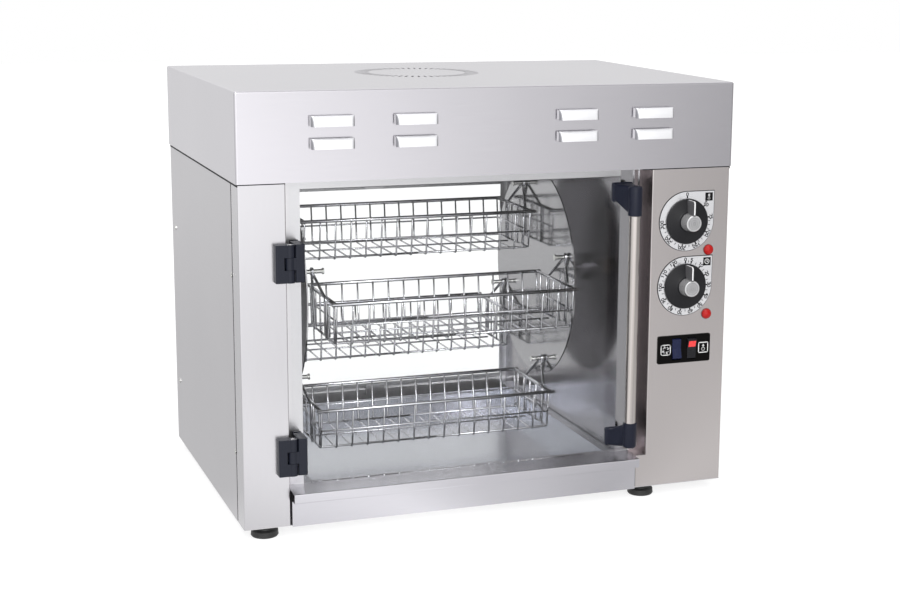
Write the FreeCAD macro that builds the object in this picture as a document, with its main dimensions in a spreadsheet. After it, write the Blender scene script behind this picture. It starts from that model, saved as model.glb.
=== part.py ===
import FreeCAD, Part
import math
import os
import re
from types import SimpleNamespace

import Sketcher
from FreeCAD import Placement, Rotation, Vector

# Countertop rotisserie oven: sheet steel case, glass door hung on the left, control column
# on the right, a motor driven wheel that carries four level wire baskets, and a drip tray
# drawer under them.
# Frame: millimetres, +Z up, the front faces -Y, origin on the table at the middle of the
# outline of the whole part.

doc = FreeCAD.newDocument("Rotisserie")

# Driving dimensions

SIZES = [
    ("case_width", 700.0),
    ("case_depth", 477.0),
    ("body_height", 456.0),
    ("hood_height", 117.0),
    ("foot_height", 15.0),
    ("foot_radius", 18.4),
    ("foot_setback", 21.0),
    ("left_foot_inset", 31.0),
    ("right_foot_inset", 117.0),
    ("gauge", 1.0),
    ("hood_overhang", 2.0),
    ("hood_hem", 12.0),
    ("edge_round", 3.0),
    ("pillar_width", 62.0),
    ("corner_return", 39.0),
    ("column_width", 119.0),
    ("plinth_extra", 15.5),
    ("plinth_height", 47.0),
    ("jamb_recess", 31.0),
    ("left_bay", 88.0),
    ("right_bay", 153.0),
    ("rail_drop", 27.0),
    ("rail_flange", 20.0),
    ("glass_recess", 20.0),
    ("glass_thickness", 5.0),
    ("glass_hinge_gap", 10.5),
    ("glass_latch_gap", 10.0),
    ("glass_top_gap", 3.0),
    ("glass_sill_gap", 3.0),
    ("window_margin", 12.0),
    ("window_sill", 60.0),
    ("window_height", 315.0),
    ("pane_overlap", 9.0),
    ("tray_front_height", 48.0),
    ("tray_drop", 1.0),
    ("lip_reach", 14.0),
    ("lip_height", 13.0),
    ("tray_depth", 31.0),
    ("tray_side_gap", 13.0),
    ("tray_length", 396.0),
    ("slide_gap", 0.3),
    ("runner_width", 11.0),
    ("wheel_height", 275.0),
    ("wheel_setback", 250.0),
    ("wheel_angle", 18.0),
    ("disc_radius", 156.5),
    ("disc_gauge", 2.0),
    ("drive_gap", 39.0),
    ("idler_gap", 23.0),
    ("basket_span", 380.0),
    ("shaft_radius", 5.0),
    ("running_gap", 0.05),
    ("hub_radius", 20.0),
    ("hub_length", 8.0),
    ("bush_radius", 8.0),
    ("bush_flange", 12.0),
    ("pin_circle", 134.0),
    ("pin_radius", 3.0),
    ("pin_length", 20.0),
    ("rim_rod", 2.5),
    ("corner_rod", 1.6),
    ("hanger_rod", 2.0),
    ("fine_wire", 1.25),
    ("rim_drop", 33.0),
    ("basket_drop", 88.0),
    ("basket_depth", 148.0),
    ("basket_floor_depth", 122.0),
    ("basket_end_gap", 11.0),
    ("rail_overhang", 6.5),
    ("basket_end_slope", 1.0),
    ("wire_pitch", 22.8),
    ("hanger_spread", 36.0),
    ("hanger_foot_spread", 31.0),
    ("dial_inset", 65.0),
    ("upper_dial_height", 380.5),
    ("lower_dial_height", 288.5),
    ("bezel_radius", 41.5),
    ("bezel_gauge", 1.2),
    ("skirt_radius", 32.0),
    ("knob_reach", 22.0),
    ("cap_radius", 11.5),
    ("spindle_radius", 3.0),
    ("lamp_inset", 29.5),
    ("lamp_drop", 42.0),
    ("lamp_radius", 7.2),
    ("switch_inset", 63.5),
    ("switch_height", 198.0),
    ("switch_plate_width", 82.0),
    ("switch_plate_height", 40.0),
    ("switch_plate_gauge", 1.5),
    ("rocker_width", 13.5),
    ("rocker_height", 29.0),
    ("rocker_pitch", 23.5),
    ("rocker_tilt", 7.0),
    ("hinge_height", 49.5),
    ("hinge_leaf", 19.0),
    ("hinge_barrel", 6.3),
    ("hinge_pin_radius", 2.5),
    ("upper_hinge_height", 353.0),
    ("lower_hinge_height", 96.0),
    ("handle_standoff", 34.0),
    ("handle_radius", 9.5),
    ("grip_radius", 12.5),
    ("handle_inset", 22.0),
    ("handle_low", 85.0),
    ("handle_length", 321.0),
    ("upper_foot_rise", 20.5),
    ("lower_foot_drop", 2.5),
    ("vent_outer_radius", 90.0),
    ("vent_inner_radius", 70.0),
    ("vent_slot_width", 3.0),
    ("vent_offset_x", -26.0),
    ("vent_offset_y", 30.0),
    ("louvre_length", 58.0),
    ("louvre_height", 13.0),
    ("louvre_depth", 6.0),
    ("louvre_pitch", 28.7),
    ("louvre_low", 43.0),
    ("louvre_inner_x", 113.5),
    ("louvre_outer_x", 225.5),
    ("reflector_height", 50.0),
    ("heater_radius", 4.0),
    ("heater_span", 60.0),
]

# Counts of what repeats

VENT_SLOTS = 58
BASKETS = 4
END_WIRES = 5

# Places worked out from the driving dimensions

LAYOUT = [
    ("front_reach", "handle_standoff - glass_recess - hood_overhang + grip_radius"),
    ("front_y", "-(case_depth - front_reach) / 2"),
    ("back_y", "front_y + case_depth"),
    ("body_front", "front_y + hood_overhang"),
    ("body_back", "back_y - hood_overhang"),
    ("body_half", "case_width / 2 - hood_overhang"),
    ("base_top", "foot_height + gauge"),
    ("body_top", "foot_height + body_height"),
    ("case_top", "body_top + hood_height"),
    ("seam_y", "body_front + corner_return"),
    ("jamb_y", "body_front + jamb_recess"),
    ("rear_y", "body_back - gauge"),
    ("pillar_x", "-body_half + pillar_width"),
    ("column_x", "body_half - column_width"),
    ("plinth_x", "column_x - plinth_extra"),
    ("ledge_z", "foot_height + plinth_height"),
    ("left_wall_x", "-body_half + left_bay"),
    ("right_wall_x", "body_half - right_bay"),
    ("rail_z", "body_top - rail_drop"),
    ("glass_front", "body_front + glass_recess"),
    ("glass_back", "glass_front + glass_thickness"),
    ("glass_left", "pillar_x + glass_hinge_gap"),
    ("glass_right", "column_x - glass_latch_gap"),
    ("shelf_z", "foot_height - tray_drop + tray_front_height"),
    ("glass_low", "shelf_z + glass_sill_gap"),
    ("glass_high", "body_top - glass_top_gap"),
    ("window_left", "left_wall_x + window_margin"),
    ("window_right", "right_wall_x - window_margin"),
    ("window_low", "foot_height + window_sill"),
    ("window_high", "window_low + window_height"),
    ("pan_left", "left_wall_x + tray_side_gap"),
    ("pan_right", "right_wall_x - tray_side_gap"),
    ("pan_front", "jamb_y + gauge"),
    ("pan_back", "pan_front + tray_length"),
    ("pan_top", "shelf_z - gauge"),
    ("pan_low", "pan_top - tray_depth"),
    ("wheel_y", "front_y + wheel_setback"),
    ("wheel_z", "foot_height + wheel_height"),
    ("disc_right", "right_wall_x - drive_gap - disc_gauge"),
    ("disc_left", "left_wall_x + idler_gap + disc_gauge"),
    ("basket_x", "disc_right - basket_span / 2"),
    ("rim_half", "basket_span / 2 - basket_end_gap"),
    ("dial_x", "body_half - dial_inset"),
    ("upper_dial_z", "foot_height + upper_dial_height"),
    ("lower_dial_z", "foot_height + lower_dial_height"),
    ("lamp_x", "body_half - lamp_inset"),
    ("switch_x", "body_half - switch_inset"),
    ("switch_z", "foot_height + switch_height"),
    ("hinge_x", "pillar_x + 2.5"),
    ("hinge_y", "body_front - hinge_barrel - 0.4"),
    ("upper_hinge_z", "foot_height + upper_hinge_height"),
    ("lower_hinge_z", "foot_height + lower_hinge_height"),
    ("handle_x", "glass_right - handle_inset"),
    ("handle_y", "glass_front - handle_standoff"),
    ("handle_z", "foot_height + handle_low"),
    ("vent_x", "vent_offset_x"),
    ("vent_y", "(front_y + back_y) / 2 + vent_offset_y"),
    ("ceiling_z", "body_top + gauge"),
    ("reflector_z", "ceiling_z + reflector_height"),
]

sizes_sheet = doc.addObject("Spreadsheet::Sheet", "Sizes")
for row, (alias, number) in enumerate(SIZES, start=1):
    sizes_sheet.set(f"A{row}", alias)
    sizes_sheet.set(f"B{row}", str(number))
    sizes_sheet.setAlias(f"B{row}", alias)
doc.recompute()

OWNER = {alias: "Sizes" for alias, _ in SIZES}


def bound(formula):
    """Write the sheet's name before each alias in a formula."""
    return re.sub(
        r"[a-z_]+",
        lambda word: f"{OWNER[word.group()]}.{word.group()}" if word.group() in OWNER else word.group(),
        formula,
    )


layout_sheet = doc.addObject("Spreadsheet::Sheet", "Layout")
for row, (alias, formula) in enumerate(LAYOUT, start=1):
    layout_sheet.set(f"A{row}", alias)
    layout_sheet.set(f"B{row}", "=" + bound(formula))
    layout_sheet.setAlias(f"B{row}", alias)
    layout_sheet.recompute()
OWNER.update({alias: "Layout" for alias, _ in LAYOUT})
doc.recompute()

# The same values as plain numbers, for the forms that no sketch or primitive gives
v = SimpleNamespace(
    **{alias: float(sizes_sheet.get(alias)) for alias, _ in SIZES},
    **{alias: float(layout_sheet.get(alias)) for alias, _ in LAYOUT},
)

NODES = []


def node(thing, label):
    """Give a finished sub-part the label that names its file."""
    thing.Label = label
    NODES.append(thing)
    return thing


# Sketch and body helpers


def new_body(name):
    return doc.addObject("PartDesign::Body", name)


def new_sketch(body, name, role, offset="0"):
    """Sketch on one of the body's own planes, moved along the plane's normal."""
    sketch = body.newObject("Sketcher::SketchObject", name)
    plane = next(item for item in body.Origin.OriginFeatures if item.Role == role)
    sketch.AttachmentSupport = (plane, [""])
    sketch.MapMode = "FlatFace"
    sketch.setExpression("AttachmentOffset.Base.z", bound(offset))
    return sketch


def loop(sketch, points):
    """Closed outline whose corners are bound to formulas."""
    count = len(points)
    first = sketch.GeometryCount
    start = [
        Vector(100 * math.cos(2 * math.pi * i / count), 100 * math.sin(2 * math.pi * i / count), 0)
        for i in range(count)
    ]
    for i in range(count):
        sketch.addGeometry(Part.LineSegment(start[i], start[(i + 1) % count]))
    for i in range(count):
        sketch.addConstraint(Sketcher.Constraint("Coincident", first + i, 2, first + (i + 1) % count, 1))
    for i, (across, up) in enumerate(points):
        for kind, formula, guess in (("DistanceX", across, start[i].x), ("DistanceY", up, start[i].y)):
            index = sketch.addConstraint(Sketcher.Constraint(kind, -1, 1, first + i, 1, guess))
            sketch.setExpression(f"Constraints[{index}]", bound(formula))


def rectangle(sketch, left, low, right, high):
    loop(sketch, [(left, low), (right, low), (right, high), (left, high)])


def circle(sketch, across, up, radius):
    index = sketch.addGeometry(Part.Circle(Vector(1, 1, 0), Vector(0, 0, 1), 10))
    for kind, formula, guess in (("DistanceX", across, 1), ("DistanceY", up, 1)):
        place = sketch.addConstraint(Sketcher.Constraint(kind, -1, 1, index, 3, guess))
        sketch.setExpression(f"Constraints[{place}]", bound(formula))
    place = sketch.addConstraint(Sketcher.Constraint("Radius", index, 10))
    sketch.setExpression(f"Constraints[{place}]", bound(radius))


def pad(body, sketch, length):
    feature = body.newObject("PartDesign::Pad", sketch.Name + "_pad")
    feature.Profile = sketch
    feature.setExpression("Length", bound(length))
    sketch.Visibility = False
    return feature


def pocket(body, sketch, length, backwards=False):
    feature = body.newObject("PartDesign::Pocket", sketch.Name + "_pocket")
    feature.Profile = sketch
    feature.setExpression("Length", bound(length))
    feature.Reversed = backwards
    sketch.Visibility = False
    return feature


def fillet_edges(body, feature, radius, wanted):
    """Round the edges of a feature that a test on their end points picks."""
    doc.recompute()
    names = [
        f"Edge{i}"
        for i, edge in enumerate(feature.Shape.Edges, start=1)
        if len(edge.Vertexes) == 2 and wanted(edge.Vertexes[0].Point, edge.Vertexes[1].Point)
    ]
    rounding = body.newObject("PartDesign::Fillet", feature.Name + "_round")
    rounding.Base = (feature, names)
    rounding.setExpression("Radius", bound(radius))
    return rounding


STEP = {"x+": (1, 0), "x-": (-1, 0), "y+": (0, 1), "y-": (0, -1)}


def folded(start, moves, side):
    """Outline of a sheet folded along square bends, from the path of its outer face."""
    turn = 1 if side == "left" else -1
    path = [start]
    for way, target in moves:
        across, up = path[-1]
        path.append((target, up) if way[0] == "x" else (across, target))
    normals = [(-turn * STEP[way][1], turn * STEP[way][0]) for way, _ in moves]
    inner = []
    for i, (across, up) in enumerate(path):
        near = normals[max(i - 1, 0):i + 1]
        shift_x = next((n[0] for n in near if n[0]), 0)
        shift_y = next((n[1] for n in near if n[1]), 0)
        inner.append((f"{across} + {shift_x} * gauge", f"{up} + {shift_y} * gauge"))
    return path + inner[::-1]


def box(name, corner, size):
    """Block from its lowest corner and its three lengths, all formulas."""
    block = doc.addObject("Part::Box", name)
    for axis, formula in zip("xyz", corner):
        block.setExpression(f"Placement.Base.{axis}", bound(formula))
    for side, formula in zip(("Length", "Width", "Height"), size):
        block.setExpression(side, bound(formula))
    return block


def cylinder(name, centre, radius, length, along="z"):
    """Round bar from the middle of its first face, along one axis."""
    bar = doc.addObject("Part::Cylinder", name)
    turn = {"z": Rotation(), "x": Rotation(Vector(0, 1, 0), 90), "y": Rotation(Vector(1, 0, 0), -90)}
    bar.Placement = Placement(Vector(), turn[along])
    for axis, formula in zip("xyz", centre):
        bar.setExpression(f"Placement.Base.{axis}", bound(formula))
    bar.setExpression("Radius", bound(radius))
    bar.setExpression("Height", bound(length))
    return bar


def fuse(name, shapes):
    joined = doc.addObject("Part::MultiFuse", name)
    joined.Shapes = shapes
    return joined


def gather(name, shapes):
    """Several separate solids kept as one sub-part."""
    group = doc.addObject("Part::Compound", name)
    group.Links = shapes
    return group


def cut(name, base, tool):
    result = doc.addObject("Part::Cut", name)
    result.Base = base
    result.Tool = tool
    return result


def feature(name, shape):
    thing = doc.addObject("Part::Feature", name)
    thing.Shape = shape
    return thing


# Case: base plate, corner posts, side panels and rear frame


def make_base_plate():
    body = new_body("base_plate")
    outline = new_sketch(body, "base_outline", "XY_Plane", "foot_height")
    rectangle(outline, "-body_half", "body_front", "body_half", "body_back")
    for x in ("-body_half + left_foot_inset", "body_half - right_foot_inset"):
        for y in ("front_y + foot_setback", "back_y - foot_setback"):
            circle(outline, x, y, "3.1")
    pad(body, outline, "gauge")
    return node(body, "base_plate")


def make_left_pillar():
    body = new_body("left_pillar")
    outline = new_sketch(body, "pillar_outline", "XY_Plane", "base_top")
    loop(outline, folded(
        ("-body_half", "seam_y"),
        [("y-", "body_front"), ("x+", "pillar_x"), ("y+", "jamb_y")],
        "left",
    ))
    post = pad(body, outline, "body_top - base_top")
    corners = [(-v.body_half, v.body_front), (v.pillar_x, v.body_front)]
    fillet_edges(body, post, "edge_round / 2", lambda a, b: upright_at(a, b, corners))
    return node(body, "left_pillar")


def upright_at(a, b, corners):
    """True for a vertical edge that stands on one of the given plan corners."""
    if math.hypot(a.x - b.x, a.y - b.y) > 0.01:
        return False
    return any(math.hypot(a.x - x, a.y - y) < 0.01 for x, y in corners)


def make_control_fascia():
    body = new_body("control_fascia")
    column = new_sketch(body, "column_outline", "XY_Plane", "ledge_z")
    loop(column, folded(
        ("body_half", "seam_y"),
        [("y-", "body_front"), ("x-", "column_x"), ("y+", "jamb_y")],
        "right",
    ))
    pad(body, column, "body_top - ledge_z")
    plinth = new_sketch(body, "plinth_outline", "XY_Plane", "base_top")
    loop(plinth, folded(
        ("body_half", "seam_y"),
        [("y-", "body_front"), ("x-", "plinth_x"), ("y+", "jamb_y")],
        "right",
    ))
    pad(body, plinth, "ledge_z - base_top")
    ledge = new_sketch(body, "ledge_outline", "XY_Plane", "ledge_z - gauge")
    rectangle(ledge, "plinth_x", "body_front", "column_x + gauge", "jamb_y")
    shell = pad(body, ledge, "gauge")
    corners = [(v.body_half, v.body_front), (v.column_x, v.body_front), (v.plinth_x, v.body_front)]
    fillet_edges(body, shell, "edge_round / 2", lambda a, b: upright_at(a, b, corners))
    holes = new_sketch(body, "fascia_holes", "XZ_Plane", "-body_front - 2 * gauge")
    for dial in ("upper_dial_z", "lower_dial_z"):
        circle(holes, "dial_x", dial, "spindle_radius + 2.2")
        circle(holes, "lamp_x", f"{dial} - lamp_drop", "4.1")
    for side in ("-", "+"):
        middle = f"switch_x {side} rocker_pitch / 2"
        rectangle(
            holes,
            f"{middle} - rocker_width / 2 - 2.2", "switch_z - rocker_height / 2 - 3",
            f"{middle} + rocker_width / 2 + 2.2", "switch_z + rocker_height / 2 + 3",
        )
    pocket(body, holes, "4 * gauge", backwards=True)
    return node(body, "control_fascia")


def make_side_panel(name, side):
    """Outer side sheet, from the front post's seam to the rear frame."""
    body = new_body(name)
    outline = new_sketch(body, name + "_outline", "XY_Plane", "base_top")
    face, inward, hand = ("-body_half", "x+", "left") if side < 0 else ("body_half", "x-", "right")
    hem = f"{face} {'+' if side < 0 else '-'} 14"
    loop(outline, folded(
        (hem, "rear_y"),
        [("x-" if side < 0 else "x+", face), ("y-", "seam_y + 0.4")],
        hand,
    ))
    pad(body, outline, "body_top - base_top")
    screws = new_sketch(body, name + "_holes", "YZ_Plane", f"{face} - 3 * gauge")
    for y, z in SIDE_SCREWS:
        circle(screws, y, z, "2.1")
    pocket(body, screws, "6 * gauge", backwards=True)
    hem_holes = new_sketch(body, name + "_hem_holes", "XZ_Plane", "-rear_y - gauge")
    for x, z in REAR_SCREWS:
        if x.startswith("-") == (side < 0):
            circle(hem_holes, x, z, "2.1")
    pocket(body, hem_holes, "4 * gauge", backwards=True)
    return node(body, name)


SIDE_SCREWS = [
    ("seam_y + 5", "foot_height + 0.73 * body_height"),
    ("seam_y + 5", "foot_height + 0.21 * body_height"),
    ("rear_y - 26", "foot_height + 0.73 * body_height"),
    ("rear_y - 26", "foot_height + 0.21 * body_height"),
]


def make_rear_frame():
    body = new_body("rear_frame")
    outline = new_sketch(body, "rear_outline", "XZ_Plane", "-body_back")
    rectangle(outline, "-body_half", "base_top", "body_half", "body_top")
    rectangle(outline, "window_left", "window_low", "window_right", "window_high")
    for x, z in REAR_SCREWS:
        circle(outline, x, z, "2.1")
    pad(body, outline, "gauge")
    return node(body, "rear_frame")


REAR_SCREWS = [
    ("-body_half + 7", "foot_height + 0.15 * body_height"),
    ("-body_half + 7", "foot_height + 0.85 * body_height"),
    ("body_half - 7", "foot_height + 0.15 * body_height"),
    ("body_half - 7", "foot_height + 0.85 * body_height"),
]


def ring_of(sides, radius, z):
    """Regular polygon about the Z axis."""
    corners = [
        Vector(radius * math.cos(2 * math.pi * i / sides), radius * math.sin(2 * math.pi * i / sides), z)
        for i in range(sides)
    ]
    return Part.makePolygon(corners + corners[:1])


def prism(sides, radius, low, high):
    return Part.Face(ring_of(sides, radius, low)).extrude(Vector(0, 0, high - low))


def domed_head(radius, height):
    """Low screw head with a sloping shoulder."""
    edge = prism(12, radius, 0, height * 0.45)
    shoulder = Part.makeLoft([ring_of(12, radius, height * 0.45), ring_of(12, radius * 0.6, height)], True, True)
    return edge.fuse(shoulder)


def make_screws():
    """Round headed sheet metal screws of the side panels and the rear frame."""
    screw = domed_head(4.0, 1.6).fuse(prism(8, 2.0, -9, 0)).removeSplitter()
    heights = [v.foot_height + share * v.body_height for share in (0.73, 0.21)]
    solids = []
    for x, axis in ((-v.body_half, Vector(-1, 0, 0)), (v.body_half, Vector(1, 0, 0))):
        for y in (v.seam_y + 5, v.rear_y - 26):
            for z in heights:
                solids.append(placed(screw, Vector(x, y, z), axis))
    for x in (-v.body_half + 7, v.body_half - 7):
        for share in (0.15, 0.85):
            z = v.foot_height + share * v.body_height
            solids.append(placed(screw, Vector(x, v.body_back, z), Vector(0, 1, 0)))
    return node(feature("panel_screws", Part.makeCompound(solids)), "panel_screws")


def placed(shape, position, axis):
    """Copy of a shape moved to a position, with its own +Z turned to an axis."""
    copy = shape.copy()
    copy.Placement = Placement(position, Rotation(Vector(0, 0, 1), axis))
    return copy


def make_feet():
    """Turned rubber foot with a cupped rim, and the screw that holds it."""
    r = v.foot_radius
    top = v.foot_height
    profile = Part.makePolygon([
        Vector(3.1, 0, 4), Vector(8, 0, 4), Vector(8, 0, 0), Vector(r - 1.5, 0, 0), Vector(r, 0, 2),
        Vector(r - 0.6, 0, 8), Vector(r - 5, 0, 10), Vector(r - 6, 0, top), Vector(3.1, 0, top),
        Vector(3.1, 0, 4),
    ])
    foot = Part.Face(profile).revolve(Vector(), Vector(0, 0, 1), 360)
    head = prism(12, 6, 2.8, 4)
    shank = prism(12, 3.0, 2.8, top + v.gauge + 5.8)
    nut = prism(6, 5.2, top + v.gauge, top + v.gauge + 4)
    screw = head.fuse([shank, nut])
    spots = [
        Vector(x, y, 0)
        for x in (-v.body_half + v.left_foot_inset, v.body_half - v.right_foot_inset)
        for y in (v.front_y + v.foot_setback, v.back_y - v.foot_setback)
    ]
    up = Vector(0, 0, 1)
    node(feature("feet", Part.makeCompound([placed(foot, spot, up) for spot in spots])), "feet")
    node(feature("foot_screws", Part.makeCompound([placed(screw, spot, up) for spot in spots])), "foot_screws")


# Cavity: walls with their jambs, front rail, reflector ceiling and rear glass


def make_cavity_wall(name, side):
    body = new_body(name)
    outline = new_sketch(body, name + "_outline", "XY_Plane", "base_top")
    if side < 0:
        path = folded(
            ("pillar_x - gauge", "jamb_y"),
            [("x+", "left_wall_x"), ("y+", "rear_y"), ("x-", "left_wall_x - 14")],
            "left",
        )
        face = "left_wall_x"
    else:
        path = folded(
            ("column_x + gauge", "jamb_y"),
            [("x-", "right_wall_x"), ("y+", "rear_y"), ("x+", "right_wall_x + 14")],
            "right",
        )
        face = "right_wall_x"
    loop(outline, path)
    pad(body, outline, "body_top - base_top")
    bore = new_sketch(body, name + "_bore", "YZ_Plane", f"{face} - 3 * gauge")
    circle(bore, "wheel_y", "wheel_z", "bush_radius")
    pocket(body, bore, "6 * gauge", backwards=True)
    return node(body, name)


def make_front_rail():
    body = new_body("front_top_rail")
    outline = new_sketch(body, "rail_outline", "YZ_Plane", "left_wall_x")
    loop(outline, folded(
        ("jamb_y + rail_flange", "body_top"),
        [("x-", "jamb_y"), ("y-", "rail_z"), ("x+", "jamb_y + rail_flange")],
        "left",
    ))
    pad(body, outline, "right_wall_x - left_wall_x")
    return node(body, "front_top_rail")


def make_ceiling():
    """Reflector: a flange on the cavity walls and a pan that rises into the hood."""
    body = new_body("cavity_ceiling")
    pan = ("left_wall_x + 12", "jamb_y + rail_flange + 4", "right_wall_x - 12", "rear_y - 16")
    inner = (pan[0] + " + gauge", pan[1] + " + gauge", pan[2] + " - gauge", pan[3] + " - gauge")
    flange = new_sketch(body, "ceiling_flange", "XY_Plane", "body_top")
    rectangle(flange, "left_wall_x - 14", "jamb_y + 1", "right_wall_x + 14", "back_y - hood_hem - 1")
    rectangle(flange, *inner)
    pad(body, flange, "gauge")
    walls = new_sketch(body, "ceiling_walls", "XY_Plane", "ceiling_z")
    rectangle(walls, *pan)
    rectangle(walls, *inner)
    pad(body, walls, "reflector_height")
    top = new_sketch(body, "ceiling_top", "XY_Plane", "reflector_z")
    rectangle(top, *pan)
    circle(top, "basket_x - 110", "wheel_y - 120", "14.1")
    pad(body, top, "gauge")
    legs = new_sketch(body, "heater_holes", "YZ_Plane", "right_wall_x - 12 - 4 * gauge")
    for y in HEATER_LEGS:
        circle(legs, y, "reflector_z - 22", "heater_radius + 0.1")
    pocket(body, legs, "8 * gauge", backwards=True)
    return node(body, "cavity_ceiling")


HEATER_LEGS = [
    "wheel_y - 40 - heater_span",
    "wheel_y - 40",
    "wheel_y + 40",
    "wheel_y + 40 + heater_span",
]


def make_heaters():
    """Two hairpin tubular elements under the reflector, each with its wall collars."""
    hairpins = []
    half = v.heater_span / 2
    bend_x = v.left_wall_x + 30 + half
    end_x = v.right_wall_x + 8
    z = v.reflector_z - 22
    for middle in (v.wheel_y - 40 - half, v.wheel_y + 40 + half):
        path = [Vector(end_x, middle - half, z)]
        for i in range(7):
            angle = math.radians(270 - 30 * i)
            path.append(Vector(bend_x + half * math.cos(angle), middle + half * math.sin(angle), z))
        path.append(Vector(end_x, middle + half, z))
        tube = Part.Wire(Part.makePolygon(path)).makePipeShell(
            [octagon(path[0], Vector(-1, 0, 0), v.heater_radius)], True, False, 1)
        collars = [
            octagon_bar(Vector(v.right_wall_x - 12, y, z), Vector(v.right_wall_x - 9, y, z), v.heater_radius + 3)
            for y in (middle - half, middle + half)
        ]
        hairpins.append(tube.fuse(collars))
    return node(feature("heating_elements", Part.makeCompound(hairpins)), "heating_elements")


def octagon(centre, normal, radius):
    outline = ring_of(8, radius, 0)
    outline.Placement = Placement(centre, Rotation(Vector(0, 0, 1), normal))
    return outline


def octagon_bar(start, end, radius):
    return Part.Face(octagon(start, end - start, radius)).extrude(end - start)


def make_oven_lamp():
    """Ceramic lamp base in the reflector's top, and its glass dome below."""
    spot = Vector(v.basket_x - 110, v.wheel_y - 120, v.reflector_z)
    base = Part.makeCylinder(14.0, 24, spot)
    lower = Part.makeCylinder(18, 3, spot - Vector(0, 0, 3))
    node(feature("lamp_holder", base.fuse(lower)), "lamp_holder")
    dome = Part.Face(Part.makePolygon([
        Vector(0, 0, -3), Vector(16, 0, -3), Vector(16, 0, -16), Vector(13.5, 0, -25), Vector(8, 0, -30),
        Vector(0, 0, -32), Vector(0, 0, -3),
    ])).revolve(Vector(), Vector(0, 0, 1), 360)
    node(feature("lamp_glass", placed(dome, spot, Vector(0, 0, 1))), "lamp_glass")


def make_rear_glass():
    body = new_body("rear_glass")
    outline = new_sketch(body, "rear_pane", "XZ_Plane", "-rear_y")
    rectangle(
        outline,
        "window_left - pane_overlap", "window_low - pane_overlap",
        "window_right + pane_overlap", "window_high + pane_overlap",
    )
    pad(body, outline, "glass_thickness")
    node(body, "rear_glass")
    clips = []
    for i, (x, z, tall) in enumerate((
        ("(window_left + window_right) / 2 - 15", "window_low - pane_overlap - 8", "16"),
        ("(window_left + window_right) / 2 - 15", "window_high + pane_overlap - 8", "16"),
    )):
        plate = box(f"clip_plate_{i}", (x, "rear_y - glass_thickness - gauge", z), ("30", "gauge", tall))
        foot_z = z if i == 0 else f"{z} + 8 + 0.2"
        foot = box(f"clip_foot_{i}", (x, "rear_y - glass_thickness", foot_z),
                   ("30", "glass_thickness", "7.8"))
        clips.append(fuse(f"clip_{i}", [plate, foot]))
    return node(gather("rear_glass_clips", clips), "rear_glass_clips")


# Hood with pressed louvres and a ring of vent slots


def louvre_solid(length, height, depth, bottom):
    """Pressed scoop with slanted ends and an open underside, on the plane y = 0."""
    rise = math.sqrt(0.5)
    bulge = Part.Wire([
        Part.LineSegment(Vector(0, 0, bottom), Vector(0, 0, height)).toShape(),
        Part.Arc(
            Vector(0, 0, height),
            Vector(0, -depth * rise, height * rise),
            Vector(0, -depth, height * 0.2),
        ).toShape(),
        Part.LineSegment(Vector(0, -depth, height * 0.2), Vector(0, -depth, bottom)).toShape(),
        Part.LineSegment(Vector(0, -depth, bottom), Vector(0, 0, bottom)).toShape(),
    ])
    scoop = Part.Face(bulge).extrude(Vector(length, 0, 0))
    scoop.translate(Vector(-length / 2, 0, 0))
    plan = Part.makePolygon([
        Vector(-length / 2, 0, bottom), Vector(length / 2, 0, bottom),
        Vector(length / 2 - depth, -depth, bottom), Vector(-length / 2 + depth, -depth, bottom),
        Vector(-length / 2, 0, bottom),
    ])
    return scoop.common(Part.Face(plan).extrude(Vector(0, 0, height - bottom)))


def make_hood():
    body = new_body("hood_shell")
    outline = new_sketch(body, "hood_outline", "XY_Plane", "body_top")
    rectangle(outline, "-case_width / 2", "front_y", "case_width / 2", "back_y")
    block = pad(body, outline, "hood_height")
    rounding = fillet_edges(body, block, "edge_round", hood_edge)
    space = new_sketch(body, "hood_space", "XY_Plane", "body_top + gauge")
    rectangle(space, "-case_width / 2 + gauge", "front_y + gauge", "case_width / 2 - gauge", "back_y - gauge")
    pocket(body, space, "hood_height - 2 * gauge", backwards=True)
    mouth = new_sketch(body, "hood_mouth", "XY_Plane", "body_top")
    rectangle(
        mouth,
        "-case_width / 2 + hood_hem", "front_y + hood_hem",
        "case_width / 2 - hood_hem", "back_y - hood_hem",
    )
    pocket(body, mouth, "gauge", backwards=True)
    doc.recompute()
    scoops = []
    openings = []
    for x in (-v.louvre_outer_x, -v.louvre_inner_x, v.louvre_inner_x, v.louvre_outer_x):
        for row in (0, 1):
            at = Vector(x, v.front_y, v.body_top + v.louvre_low + row * v.louvre_pitch)
            scoop = louvre_solid(v.louvre_length, v.louvre_height, v.louvre_depth, 0)
            hollow = louvre_solid(
                v.louvre_length - 2.4 * v.gauge, v.louvre_height - v.gauge, v.louvre_depth - v.gauge, -1)
            slot = Part.makeBox(
                v.louvre_length - 3 * v.gauge, 3 * v.gauge, v.louvre_height * 0.75,
                Vector(-v.louvre_length / 2 + 1.5 * v.gauge, -v.gauge, 0.2),
            )
            scoop.translate(at)
            hollow.translate(at)
            slot.translate(at)
            scoops.append(scoop)
            openings.append(hollow)
            openings.append(slot)
    centre = Vector(v.vent_x, v.vent_y, v.case_top - 2 * v.gauge)
    for i in range(VENT_SLOTS):
        slot = Part.makeBox(
            v.vent_outer_radius - v.vent_inner_radius, v.vent_slot_width, 4 * v.gauge,
            Vector(v.vent_inner_radius, -v.vent_slot_width / 2, 0),
        )
        slot.Placement = Placement(centre, Rotation(Vector(0, 0, 1), 360 * i / VENT_SLOTS))
        openings.append(slot)
    pressed = fuse("hood_pressed", [body, feature("louvre_scoops", Part.makeCompound(scoops))])
    cutter = feature("hood_openings", Part.makeCompound(openings))
    return node(cut("hood_cover", pressed, cutter), "hood_cover")


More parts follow.
